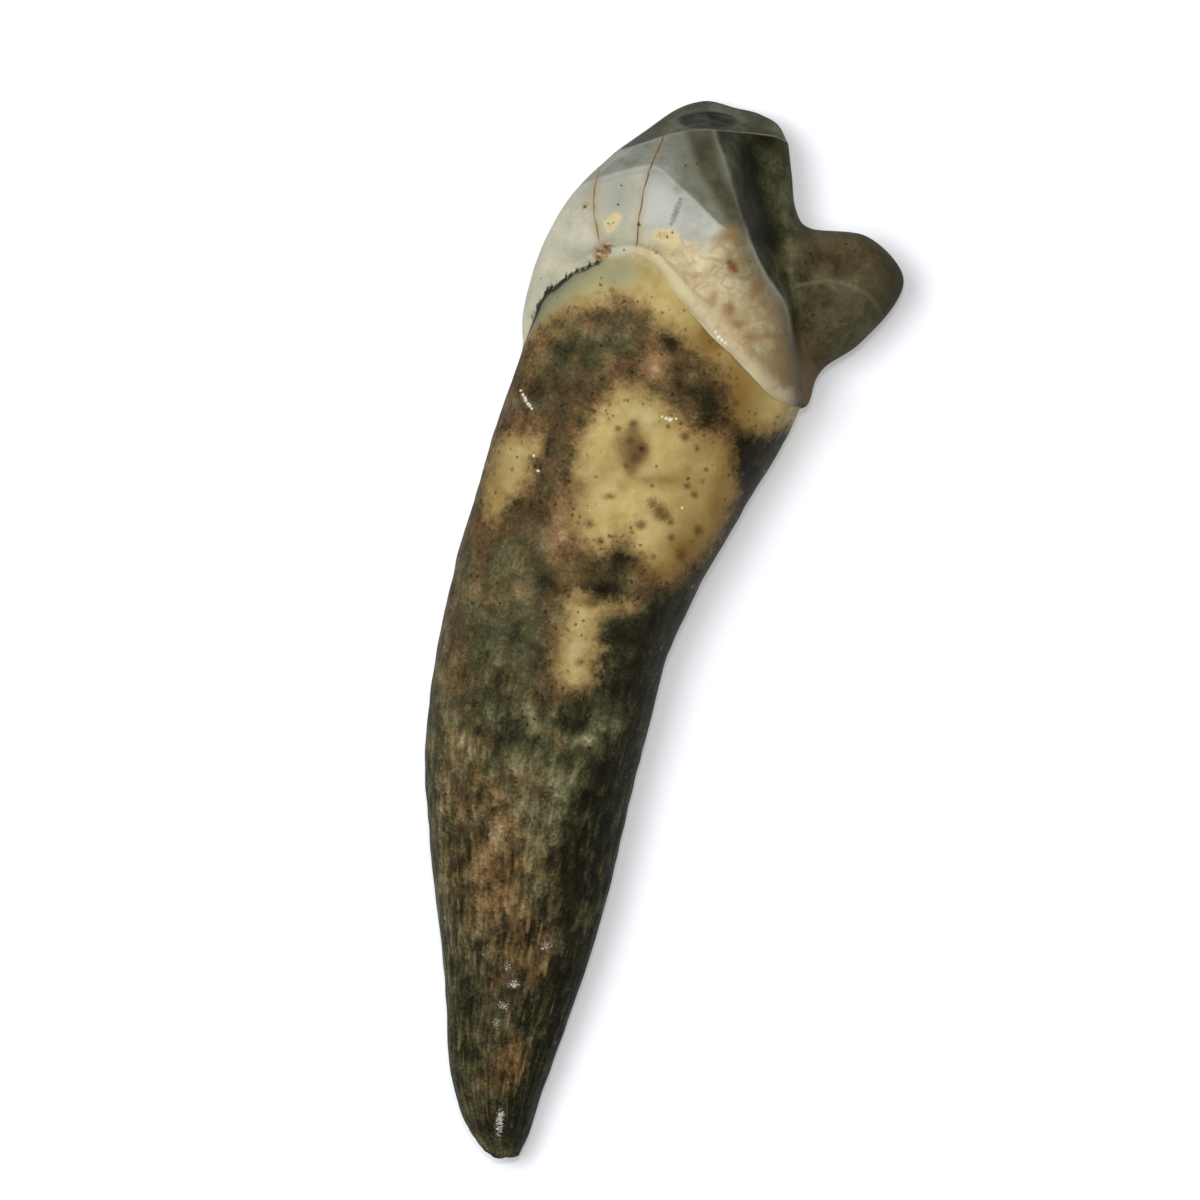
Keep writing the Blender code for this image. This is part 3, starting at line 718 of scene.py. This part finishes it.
class Graph:
    """Short names for the shader nodes used here. A value is a socket or a number."""

    def __init__(self, material):
        material.use_nodes = True
        self.tree = material.node_tree
        self.shader = self.tree.nodes["Principled BSDF"]

    def put(self, socket, value):
        if isinstance(value, bpy.types.NodeSocket):
            self.tree.links.new(value, socket)
        else:
            socket.default_value = value

    def node(self, kind, **settings):
        made = self.tree.nodes.new(kind)
        for name, value in settings.items():
            setattr(made, name, value)
        return made

    def result(self, kind, *values, **settings):
        """The first output of a new node, whose first inputs take these values."""
        made = self.node(kind, **settings)
        for socket, value in zip(made.inputs, values):
            self.put(socket, value)
        return made.outputs[0]

    def math(self, operation, *values):
        return self.result("ShaderNodeMath", *values, operation=operation)

    def product(self, value):
        """A tuple stands for the product of its values."""
        return self.times(*value) if isinstance(value, tuple) else value

    def add(self, *values):
        total, *others = [self.product(value) for value in values]
        for value in others:
            total = self.math("ADD", total, value)
        return total

    def times(self, *values):
        total = values[0]
        for value in values[1:]:
            total = self.math("MULTIPLY", total, value)
        return total

    def rest(self, value):
        return self.math("SUBTRACT", 1.0, value)

    def step(self, value, low, high, start=0.0, end=1.0):
        made = self.node("ShaderNodeMapRange", interpolation_type="SMOOTHSTEP")
        given = {"Value": value, "From Min": low, "From Max": high, "To Min": start, "To Max": end}
        for name, setting in given.items():
            self.put(made.inputs[name], setting)
        return made.outputs[0]

    def line(self, value, half_width):
        """1 where the value is zero, falling to 0 at the half width."""
        return self.step(self.math("ABSOLUTE", value), 0, half_width, 1, 0)

    def __getitem__(self, name):
        """The value that the mesh carries under this name."""
        return self.attribute(name)

    def attribute(self, name, output="Fac"):
        return self.node("ShaderNodeAttribute", attribute_name=name).outputs[output]

    def vector_math(self, operation, *values):
        return self.result("ShaderNodeVectorMath", *values, operation=operation)

    def scaled(self, vector, factors):
        return self.vector_math("MULTIPLY", vector, factors)

    def vector(self, *values):
        return self.result("ShaderNodeCombineXYZ", *values)

    def parts(self, vector):
        """The x, y and z of a vector."""
        made = self.node("ShaderNodeSeparateXYZ")
        self.put(made.inputs[0], vector)
        return made.outputs

    def noise(self, vector, scale, detail=2.0, roughness=0.55, distortion=0.0):
        """Noise from about -1 to 1, with features of one over the scale in mm."""
        made = self.node("ShaderNodeTexNoise")
        given = {"Vector": vector, "Scale": scale, "Detail": detail, "Roughness": roughness,
                 "Distortion": distortion}
        for name, setting in given.items():
            self.put(made.inputs[name], setting)
        return self.math("MULTIPLY_ADD", made.outputs["Fac"], 4, -2)

    def shifted(self, vector, *values):
        """The places moved along x, y and z by three values."""
        return self.vector_math("ADD", vector, self.vector(*values))

    def cells(self, vector, scale):
        """Random cells: the distance to the middle of the nearest, and two random values of its own."""
        made = self.node("ShaderNodeTexVoronoi")
        self.put(made.inputs["Vector"], vector)
        made.inputs["Scale"].default_value = scale
        split = self.node("ShaderNodeSeparateColor")
        self.put(split.inputs[0], made.outputs["Color"])
        return made.outputs["Distance"], split.outputs[0], split.outputs[1]

    def dots(self, cells, radius, density):
        """Round dots: one in each cell that is luckier than the density asks."""
        distance, luck, random = cells
        size = self.times(radius, self.add(0.4, self.times(0.9, random)))
        inside = self.step(self.math("DIVIDE", distance, size), 0.55, 1.1, 1, 0)
        return self.times(inside, self.math("LESS_THAN", luck, density))

    def mix(self, factor, below, above):
        made = self.node("ShaderNodeMix", data_type="RGBA")
        self.put(made.inputs[0], self.product(factor))
        for socket, value in ((made.inputs[6], below), (made.inputs[7], above)):
            self.put(socket, colour(value) if isinstance(value, str) else value)
        return made.outputs[2]

    def ramp(self, factor, *stops):
        made = self.node("ShaderNodeValToRGB")
        self.put(made.inputs[0], factor)
        elements = made.color_ramp.elements
        while len(elements) < len(stops):
            elements.new(0.5)
        for element, (place, text) in zip(elements, stops):
            element.position = place
            element.color = colour(text)
        return made.outputs[0]


def crisp_spots(g, places, core, ragged):
    """1 in each of some small round spots on the upper side, out to the core's share of the radius.

    Three spots are worked out at a time, one in each part of a vector.
    """
    nearest = (9.0, 9.0, 9.0)
    for first in range(0, len(places), 3):
        three = (places[first:first + 3] * 3)[:3]
        squares = 0
        for along, middle in enumerate(FOOTPRINT_MIDDLE):
            starts = [to_mm(px, py)[along] - middle for px, py, radius in three]
            factors = [1 / (radius * PIXEL) for px, py, radius in three]
            shifts = [-start * factor for start, factor in zip(starts, factors)]
            gap = g.vector_math("MULTIPLY_ADD", g.plan[along], factors, shifts)
            squares = g.vector_math("MULTIPLY_ADD", gap, gap, squares) if along else g.scaled(gap, gap)
        nearest = g.vector_math("MINIMUM", nearest, squares)
    first_least, second_least, third_least = g.parts(nearest)
    least = g.math("MINIMUM", g.math("MINIMUM", first_least, second_least), third_least)
    distance = g.add(g.math("SQRT", least), (g.grit, ragged))
    return g.times(g.step(distance, 1.0, core), g["near"])


def crust_colour(g, at, grain, edge, speckle):
    """The dark stain of the root: brown and grey-green mottles, drawn out along the root lower down."""
    low_down = g.step(g["height"], 24, 14)
    upper = g.step(g["height"], 22, 27)
    mottle = g.noise(at, 1.0, 3, 0.55)
    drawn = g.shifted(g.scaled(grain, (1, 1, 0.42)),
                      g.times(mottle, 0.1), g.times(speckle, 0.05), g.times(mottle, 0.2))
    streak = g.noise(drawn, 2.4, 3, 0.55)
    # On the dark side, partly painted shade, the crust is darker and greener.
    shaded = g.step(g.add(g["shaded"], (mottle, 0.25)), -0.6, 0.6)
    light = g.add(
        0.48, (mottle, g.add(0.20, (low_down, 0.04))),
        (speckle, g.add(0.13, (low_down, 0.04))),
        (streak, g.add(0.08, (low_down, 0.18))),
        (low_down, -0.06), (g["light"], 0.28),
        (g["dark"], -0.28), (shaded, -0.24),
    )
    brown = g.ramp(light, (0.0, "#0A0902"), (0.25, "#29200D"), (0.5, "#584428"), (0.75, "#866A47"),
                   (1.0, "#BCA17A"))
    green = g.ramp(light, (0.0, "#0A0A02"), (0.25, "#21200F"), (0.5, "#46442B"), (0.75, "#706E4F"),
                   (1.0, "#A8A584"))
    deep = g.times(g.step(edge, -0.45, -1.5), 0.28)
    hue = g.add(0.24, (upper, 0.18), (g.noise(at, 0.8, 2, 0.6), 0.30),
                (g["warm"], 0.6),
                (deep, -1.0), (shaded, -0.35))
    return g.mix(g.step(hue, -0.05, 0.7), green, brown)


def dentine_colour(g, at, mottle):
    """The pale dentine between the stains."""
    tone = g.add(0.5, (g.noise(at, 0.8, 3, 0.6), 0.26), (mottle, 0.10))
    pale = g.ramp(tone, (0.15, "#8E783E"), (0.45, "#AD985F"), (0.7, "#BDAA73"))
    pale = g.mix((g["cool"], 0.5), pale, "#928A66")
    # Ochre, partly painted shade: darker towards the right and under the enamel border.
    pale = g.mix((g["ochre_and_shade"], 0.85), pale, "#765D2C")
    band = g.step(g.add(g["enamel"], (mottle, 0.15)), -2.0, -0.5)
    return g.mix((g["grey"], band, 0.85), pale, "#8A896A")


def root_colour(g, at, grain):
    mottle = g.noise(at, 2.0, 3, 0.65)
    speckle = g.noise(at, 7.0, 3, 0.7)
    edge = g.add(g["pale"], (mottle, 0.26), (speckle, 0.12))
    stain = g.step(edge, -0.42, 0.42, 1, 0)
    pale = dentine_colour(g, at, mottle)
    halo = g.step(edge, 0.9, 0.0)
    pale = g.mix((halo, 0.6), pale, "#7A5C33")
    nearer = g.step(g["pale"], 1.2, -0.1)
    places = g.shifted(at, g.times(mottle, 0.08), g.times(speckle, 0.06), 0.0)
    small_cells = g.cells(places, 3.6)
    coarse = g.dots(g.cells(places, 2.0), 0.28, g.add(0.08, (nearer, 0.45)))
    fine = g.dots(small_cells, 0.30, g.add(0.04, (nearer, 0.5)))
    pale = g.mix((coarse, 0.6), pale, "#5E4422")
    pale = g.mix((fine, 0.7), pale, "#4A3219")
    spot = g.add(g["brown"], (mottle, 0.10), (speckle, 0.08))
    pale = g.mix((g.step(spot, 0.05, 0.7), 0.75), pale, "#6B5029")
    pale = g.mix((g.step(spot, 0.45, 1.1), 0.7), pale, "#45331D")
    pale = g.mix((crisp_spots(g, BROWN_SPOTS, 0.05, 0.3), 0.75), pale, "#4C3216")
    crust = crust_colour(g, at, grain, edge, speckle)
    margin = g.step(edge, -1.2, -0.1)
    dots = g.dots(small_cells, 0.30, g.add(0.18, (margin, 0.4)))
    crust = g.mix((dots, 0.7), crust, "#140D06")
    flecks = g.dots(g.cells(g.scaled(grain, (1, 1, 0.4)), 2.4), 0.34, 0.3)
    flecks = g.times(flecks, g.step(g["warm"], 0.15, 0.6), g.step(g["height"], 24, 14))
    crust = g.mix((flecks, 0.3), crust, "#A08660")
    # Painted highlights: pale glints painted into the crust where the gloss marks are.
    painted_glint = g.step(g.add(g["gloss"], (g.grit, 0.6)), 0.7, 1.25)
    crust = g.mix((painted_glint, 0.8), crust, "#D8D6CE")
    return g.mix(stain, pale, crust), stain


def lit_enamel(g, at, broad, fine):
    """The worn enamel on the lip side of the ridge."""
    cloud = g.noise(at, 2.2, 3, 0.6, 0.4)
    tone = g.add(0.5, (broad, 0.22), (cloud, 0.10), (fine, 0.06))
    shown = g.ramp(tone, (0.2, "#A09F88"), (0.5, "#B6B39D"), (0.8, "#C8C3AE"))
    shown = g.mix((g["cool"], 0.75), shown, "#8B8E86")
    cool = g.step(g["ridge"], 4.6, 2.6)
    shown = g.mix((cool, 0.75), shown, g.ramp(tone, (0.2, "#8A8D87"), (0.8, "#AEB0AA")))
    white = g.step(g.add(g["white"], (cloud, 0.08)), -0.35, 0.25)
    down = g.step(g["height"], 42.0, 40.8)
    shown = g.mix((white, 0.75), shown, g.mix(down, "#949691", "#AFB0AD"))

    # The facet beyond its edge is grey, and darker towards the ridge: partly the enamel's own grey,
    # partly painted shade where the facet turns away from the light.
    facet = g.add(g["facet"], (cloud, 0.03))
    bands = g.noise(g.scaled(at, (0.5, 1.6, 1)), 1.3, 3, 0.6)
    grey = g.ramp(g.add(tone, (broad, 0.08), (bands, 0.14)), (0.2, "#5C5E50"), (0.5, "#76796A"),
                  (0.8, "#90938A"))
    deeper = g.step(g["ridge"], 3.2, 0.6)
    grey = g.mix((deeper, 0.75), grey, "#4E4E3A")
    shown = g.mix((g.step(facet, -0.12, 0.16), 0.85), shown, grey)
    # Painted highlight: a pale line along the facet's edge.
    shown = g.mix((g.line(facet, 0.10), 0.25), shown, "#C9CAC4")
    streak = g.add(g["streak"], (broad, 0.10), (cloud, 0.05))
    dark = g.ramp(tone, (0.2, "#2A281B"), (0.5, "#403E2C"), (0.8, "#5A573F"))
    return g.mix((g.step(streak, -0.24, 0.22), 0.9), shown, dark)


def flange_colour(g, at, broad, fine):
    """Marbled beige inside, with brown veins and a light border."""
    cloud = g.noise(at, 2.0, 3, 0.6, 0.6)
    tone = g.add(0.52, (broad, 0.12), (cloud, 0.18), (fine, 0.05),
                 (g["light"], 0.3))
    shown = g.ramp(tone, (0.15, "#8A7853"), (0.4, "#AE9C76"), (0.7, "#C6BA96"), (1.0, "#D8D0B8"))
    vein = g.add(g.noise(at, 0.8, 2, 0.5, 0.8), (cloud, 0.08))
    shown = g.mix((g.line(vein, 0.26), g.step(cloud, -0.6, 0.5), 0.45), shown, "#86643C")
    inner = g.step(g.add(g["ridge"], (cloud, 0.25)), 2.2, -0.4)
    shown = g.mix(inner, shown, "#60553A")
    low = g.step(g["height"], 37.5, 34.0)
    shown = g.mix((low, g.add(0.45, (inner, 0.3))), shown, "#786345")
    border = g.step(g.add(g["enamel"], (cloud, 0.25)), 0.75, 0.15)
    return g.mix((border, 0.55), shown, "#CBC19F")


def valley_colour(g, broad, fine):
    """The dark hollow on the tongue side of the ridge: partly its own dark enamel, partly painted shade
    where the wall turns away from the light.
    """
    light = g.add(0.44, (broad, 0.20), (fine, 0.12), (g["light"], 0.34),
                  (g["dark"], -0.4))
    shown = g.ramp(light, (0.0, "#090A02"), (0.3, "#1D1F0E"), (0.55, "#363723"), (0.85, "#646246"))
    shown = g.mix((g["warm"], 0.75), shown, "#6B563A")
    specks = g.times(g.dots(g.specks, 0.3, g.times(g["brown"], 0.9)), 0.7)
    return g.mix(specks, shown, "#4A3018")


def lobe_colour(g, broad, fine):
    light = g.add(0.46, (broad, 0.18), (fine, 0.10), (g["light"], 0.25),
                  (g["dark"], -0.3))
    olive = g.ramp(light, (0.0, "#131209"), (0.3, "#312E1B"), (0.6, "#544F39"), (0.9, "#797459"))
    brown = g.ramp(light, (0.0, "#171006"), (0.3, "#382A18"), (0.6, "#604E34"), (0.9, "#857151"))
    shown = g.mix((g["warm"], 0.8), olive, brown)
    fold = g.times(g.line(g.add(g["fold"], (fine, 0.05)), 0.16), 0.18)
    shown = g.mix(fold, shown, "#8C8468")
    # Painted shade: the lobe darkens towards its outer edges.
    outer_shade = g.step(g["lobe"], 2.4, 4.2)
    shown = g.mix((outer_shade, 0.6), shown, "#2A2616")
    specks = g.times(g.dots(g.specks, 0.26, g.add(0.10, (g["dark"], 1.0))), 0.7)
    return g.mix(specks, shown, "#191108")


def enamel_colour(g, at, broad, fine):
    shown = lit_enamel(g, at, broad, fine)
    flange = g.step(g.add(g["flange"], (broad, 0.15)), -0.35, 0.35)
    shown = g.mix(flange, shown, flange_colour(g, at, broad, fine))
    ridge = g.add(g["ridge"], (broad, 0.04))
    soft = g.step(g["height"], 37.3, 35.3)
    beyond = g.step(ridge, g.add(0.05, (soft, 0.35)), g.add(-0.16, (soft, -0.35)))
    shown = g.mix(beyond, shown, valley_colour(g, broad, fine))
    lobe = g.times(g.step(g.add(g["lobe"], (fine, 0.04)), -0.15, 0.12), g["near"])
    shown = g.mix(lobe, shown, lobe_colour(g, broad, fine))
    # Painted highlight: a pale line along the ridge's crest.
    low = g.step(g["height"], 40.5, 38.5)
    strength = g.times(g.add(0.08, (broad, 0.10), (low, 0.08)), g.rest(soft))
    crest_highlight = g.times(g.line(ridge, 0.09), strength, g["near"])
    return g.mix(crest_highlight, shown, "#C9C6B0")


def stains_on_enamel(g, at, shown, fine):
    brown = g.add(g["brown"], (fine, 0.07))
    shown = g.mix((g.step(brown, 0.08, 1.0), 0.8), shown, "#7A582A")
    shown = g.mix((crisp_spots(g, ORANGE_SPOTS, 0.1, 0.12), 0.85), shown, "#6A3C12")
    shown = g.mix((crisp_spots(g, GREY_SPOTS, 0.35, 0.2), 0.5), shown, "#55574C")
    blotchy = g.add(g["yellow"], (fine, 0.30))
    shown = g.mix((g.step(blotchy, 0.25, 0.85), 0.8), shown, "#CBB888")
    shown = g.mix((g.step(blotchy, 0.85, 1.3), 0.6), shown, "#8A6A3E")
    lit = g.step(g["ridge"], 0.0, 0.3)
    dark = g.times(g.step(g.add(g["dark"], (fine, 0.06)), 0.1, 1.0), lit)
    shown = g.mix((dark, 0.75), shown, "#2A2A20")
    wander = g.noise(at, 1.5, 2)
    strength = g.step(wander, -1.0, 0.3, 0.5, 0.95)
    for name, text, halo_strength in (("crack_a", "#4A3A1C", 0.3), ("crack_b", "#5E4A28", 0.4)):
        gap = g.add(g[name], (wander, 0.03))
        on = g[name + "_on"]
        shown = g.mix((g.line(gap, 0.34), on, halo_strength), shown, "#98804F")
        shown = g.mix((g.line(gap, 0.055), on, strength), shown, text)
    pitted = g.ramp(g.add(0.42, (fine, 0.24)), (0.12, "#23170C"), (0.35, "#6E5030"),
                    (0.55, "#B0946C"), (0.75, "#F0E8D6"))
    ragged = g.add(g["pitted"], (g.grit, 0.15))
    return g.mix((g.step(ragged, 0.35, 0.7), 0.9), shown, pitted)


def worn_top(g, at, shown, broad, fine):
    """The flat worn end, with the dark layered dentine in its middle."""
    worn = g["worn"]
    face = g.ramp(g.add(0.5, (broad, 0.2), (fine, 0.08)),
                  (0.2, "#333226"), (0.5, "#4A493C"), (0.8, "#706F64"))
    layers = g.noise(g.scaled(at, (0.5, 2.2, 2.2)), 2.0, 3, 0.6)
    dentine = g.ramp(g.add(0.5, (layers, 0.35)), (0.2, "#13120B"), (0.5, "#272720"), (0.85, "#45453F"))
    edge = g.add(g["dentine"], (fine, 0.06))
    face = g.mix(g.step(edge, -0.1, 0.2), face, dentine)
    face = g.mix((g["light"], 0.5), face, "#8E8E84")
    face = g.mix((g["dark"], 0.7), face, "#26261A")
    shown = g.mix(g.step(worn, -0.02, 0.05), shown, face)
    rim = g.times(g.line(g.add(worn, -0.02), 0.10), g["near"])
    return g.mix((rim, 0.45), shown, "#B9B6A2")


def margin_colour(g, at, root, shown, enamel, fine):
    """Joins root and enamel, with the dark jagged fringe and painted shade below the enamel's edge, and
    the white crumbs along the margin.
    """
    fringe_and_shade = g["fringe_and_shade"]
    # Painted shade: a grey-blue band on the root below the margin, where the fringe marks are.
    root = g.mix((g.step(enamel, -0.9, -0.1), fringe_and_shade, 0.75), root, "#5E6458")
    clear = g["clear"]
    root = g.mix((g.step(enamel, -0.14, -0.02), g.step(clear, 0.5, 0.1), 0.45), root, "#6B5C3A")
    low, high = g.add(-0.02, (clear, -0.35)), g.add(0.04, (clear, 0.35))
    tooth = g.mix(g.step(enamel, low, high), root, shown)

    x, _, z = g.parts(at)
    # The dark band: the fringe's own dark teeth reaching up into the enamel, and painted shade under the
    # enamel's edge.
    teeth = g.noise(g.vector(x, g.times(enamel, 0.25), z), 4.5, 2, 0.7)
    reach = g.add(-0.04, (teeth, 0.24), (fringe_and_shade, 0.08))
    jagged = g.step(g.math("SUBTRACT", reach, enamel), -0.06, 0.10)
    shade_below_edge = g.step(g.add(enamel, (fringe_and_shade, 0.14)), -0.14, 0.0)
    tooth = g.mix((jagged, shade_below_edge, g.step(fringe_and_shade, 0.25, 0.7), 0.9), tooth, "#1C1B13")
    crumbs = g.times(g.dots(g.specks, 0.34, 0.65), g.line(g.add(enamel, -0.05), 0.20))
    crumbs = g.times(crumbs, g.step(g["crumbs"], 0.25, 0.5))
    return g.mix(crumbs, tooth, "#F3EEDF")


def tooth_material():
    material = bpy.data.materials.new("fossil_tooth")
    g = Graph(material)
    at = g.scaled(g.node("ShaderNodeTexCoord").outputs["Object"], (1000, 1000, 1000))
    grain = g.attribute("grain", "Vector")
    enamel = g["enamel"]

    g.grit = g.noise(at, 12.0, 2, 0.7)
    g.specks = g.cells(at, 4.0)
    g.plan = g.parts(at)[:2]
    broad = g.noise(at, 0.9, 3, 0.6, 0.3)
    fine = g.noise(at, 5.0, 3, 0.7)

    root, stain = root_colour(g, at, grain)
    shown = enamel_colour(g, at, broad, fine)
    shown = stains_on_enamel(g, at, shown, fine)
    shown = worn_top(g, at, shown, broad, fine)
    tooth = margin_colour(g, at, root, shown, enamel, fine)
    tooth = g.mix((crisp_spots(g, DARK_SPOTS, 0.1, 0.35), 0.85), tooth, "#1E150B")
    # Painted highlights: the pale glint spots.
    tooth = g.mix((crisp_spots(g, PAINTED_GLINTS, 0.2, 0.4), 0.75), tooth, "#EFEBE0")
    g.put(g.shader.inputs["Base Color"], tooth)

    on_enamel = g.step(enamel, -0.02, 0.05)
    on_root = g.rest(on_enamel)
    gloss = g.add(g["gloss"], (g.grit, 0.25))
    glossy = g.math("MAXIMUM", g.step(g.noise(at, 2.6, 2, 0.6), 0.6, 0.85), g.step(gloss, 0.3, 0.6))
    root_rough = g.add(0.58, (stain, 0.06), (g.grit, 0.05), (glossy, -0.38))
    sunken = g.step(g["ridge"], 0.1, -0.3)
    enamel_rough = g.add(0.48, (fine, 0.03), (g["pitted"], 0.3), (sunken, 0.3))
    g.put(g.shader.inputs["Roughness"], g.add((on_enamel, enamel_rough), (on_root, root_rough)))

    streak = g.noise(g.scaled(grain, (1, 1, 0.3)), 4.5, 2, 0.6)
    crusty = g.step(g["pale"], 0.4, -0.4, 0.2, 1.0)
    height = g.times(g.add((g.grit, 0.012), (streak, 0.004)), crusty, on_root)
    bump = g.node("ShaderNodeBump")
    bump.inputs["Strength"].default_value = 1.0
    bump.inputs["Distance"].default_value = MM
    g.put(bump.inputs["Height"], height)
    g.put(g.shader.inputs["Normal"], bump.outputs[0])
    g.shader.inputs["Specular IOR Level"].default_value = SPECULAR_LEVEL
    g.shader.inputs["Specular Tint"].default_value = SPECULAR_TINT
    return material


# Floor, light and camera.

FLOOR_SIDE = 0.8
FLOOR_COLOUR = (0.60, 0.62, 0.66, 1)
FLOOR_ROUGHNESS = 0.9
FLOOR_GLOW = 0.33
WORLD_COLOUR = (1.0, 0.95, 0.86, 1)
WORLD_STRENGTH = 0.20
# Each light: to the right and up in the photograph, height and size in metres, and power in watts.
LIGHTS = {
    "key": (-0.13, 0.05, 0.50, 0.20, 2.08),
    "glint": (0.0, 0.045, 0.52, 0.03, 0.7),
}
LENS = 1000.0
SENSOR = 36.0
PHOTO_WIDTH = 1200
FRAME_WIDTH = PHOTO_WIDTH * PIXEL * MM
MIDDLE_HEIGHT = 4.0 * MM
CLIP_START, CLIP_END = 0.01, 5


def make_floor():
    bpy.ops.mesh.primitive_plane_add(size=FLOOR_SIDE, location=(0, 0, 0))
    floor = bpy.context.object
    floor.name = "floor"
    material = bpy.data.materials.new("floor")
    material.use_nodes = True
    shader = material.node_tree.nodes["Principled BSDF"]
    shader.inputs["Base Color"].default_value = FLOOR_COLOUR
    shader.inputs["Roughness"].default_value = FLOOR_ROUGHNESS
    shader.inputs["Emission Color"].default_value = (1, 1, 1, 1)
    shader.inputs["Emission Strength"].default_value = FLOOR_GLOW
    floor.data.materials.append(material)


def make_light(name, right, up, height, size, power):
    """A round light, placed by the photograph's own right and up, that shines on the tooth."""
    data = bpy.data.lights.new(name, "AREA")
    data.shape = "DISK"
    data.size = size
    data.energy = power
    light = new_object(name, data)
    across, along = math.cos(PHOTO_TILT), math.sin(PHOTO_TILT)
    place = Vector((right * across - up * along, right * along + up * across, height))
    light.location = place
    light.rotation_euler = place.to_track_quat("Z", "Y").to_euler()


def make_world():
    world = bpy.data.worlds.new("studio")
    world.use_nodes = True
    background = world.node_tree.nodes["Background"]
    background.inputs["Color"].default_value = WORLD_COLOUR
    background.inputs["Strength"].default_value = WORLD_STRENGTH
    bpy.context.scene.world = world


def make_camera():
    data = bpy.data.cameras.new("camera")
    data.lens = LENS
    data.sensor_width = SENSOR
    data.clip_start = CLIP_START
    data.clip_end = CLIP_END
    camera = new_object("camera", data)
    x, y = to_mm(*PHOTO_MIDDLE)
    middle_x, middle_y = FOOTPRINT_MIDDLE
    distance = FRAME_WIDTH * LENS / SENSOR
    camera.location = ((x - middle_x) * MM, (y - middle_y) * MM, MIDDLE_HEIGHT + distance)
    camera.rotation_euler = (0, 0, PHOTO_TILT)
    bpy.context.scene.camera = camera


def main():
    make_tooth()
    make_floor()
    for name, settings in LIGHTS.items():
        make_light(name, *settings)
    make_world()
    make_camera()
    bpy.context.scene.view_settings.view_transform = "Standard"


main()
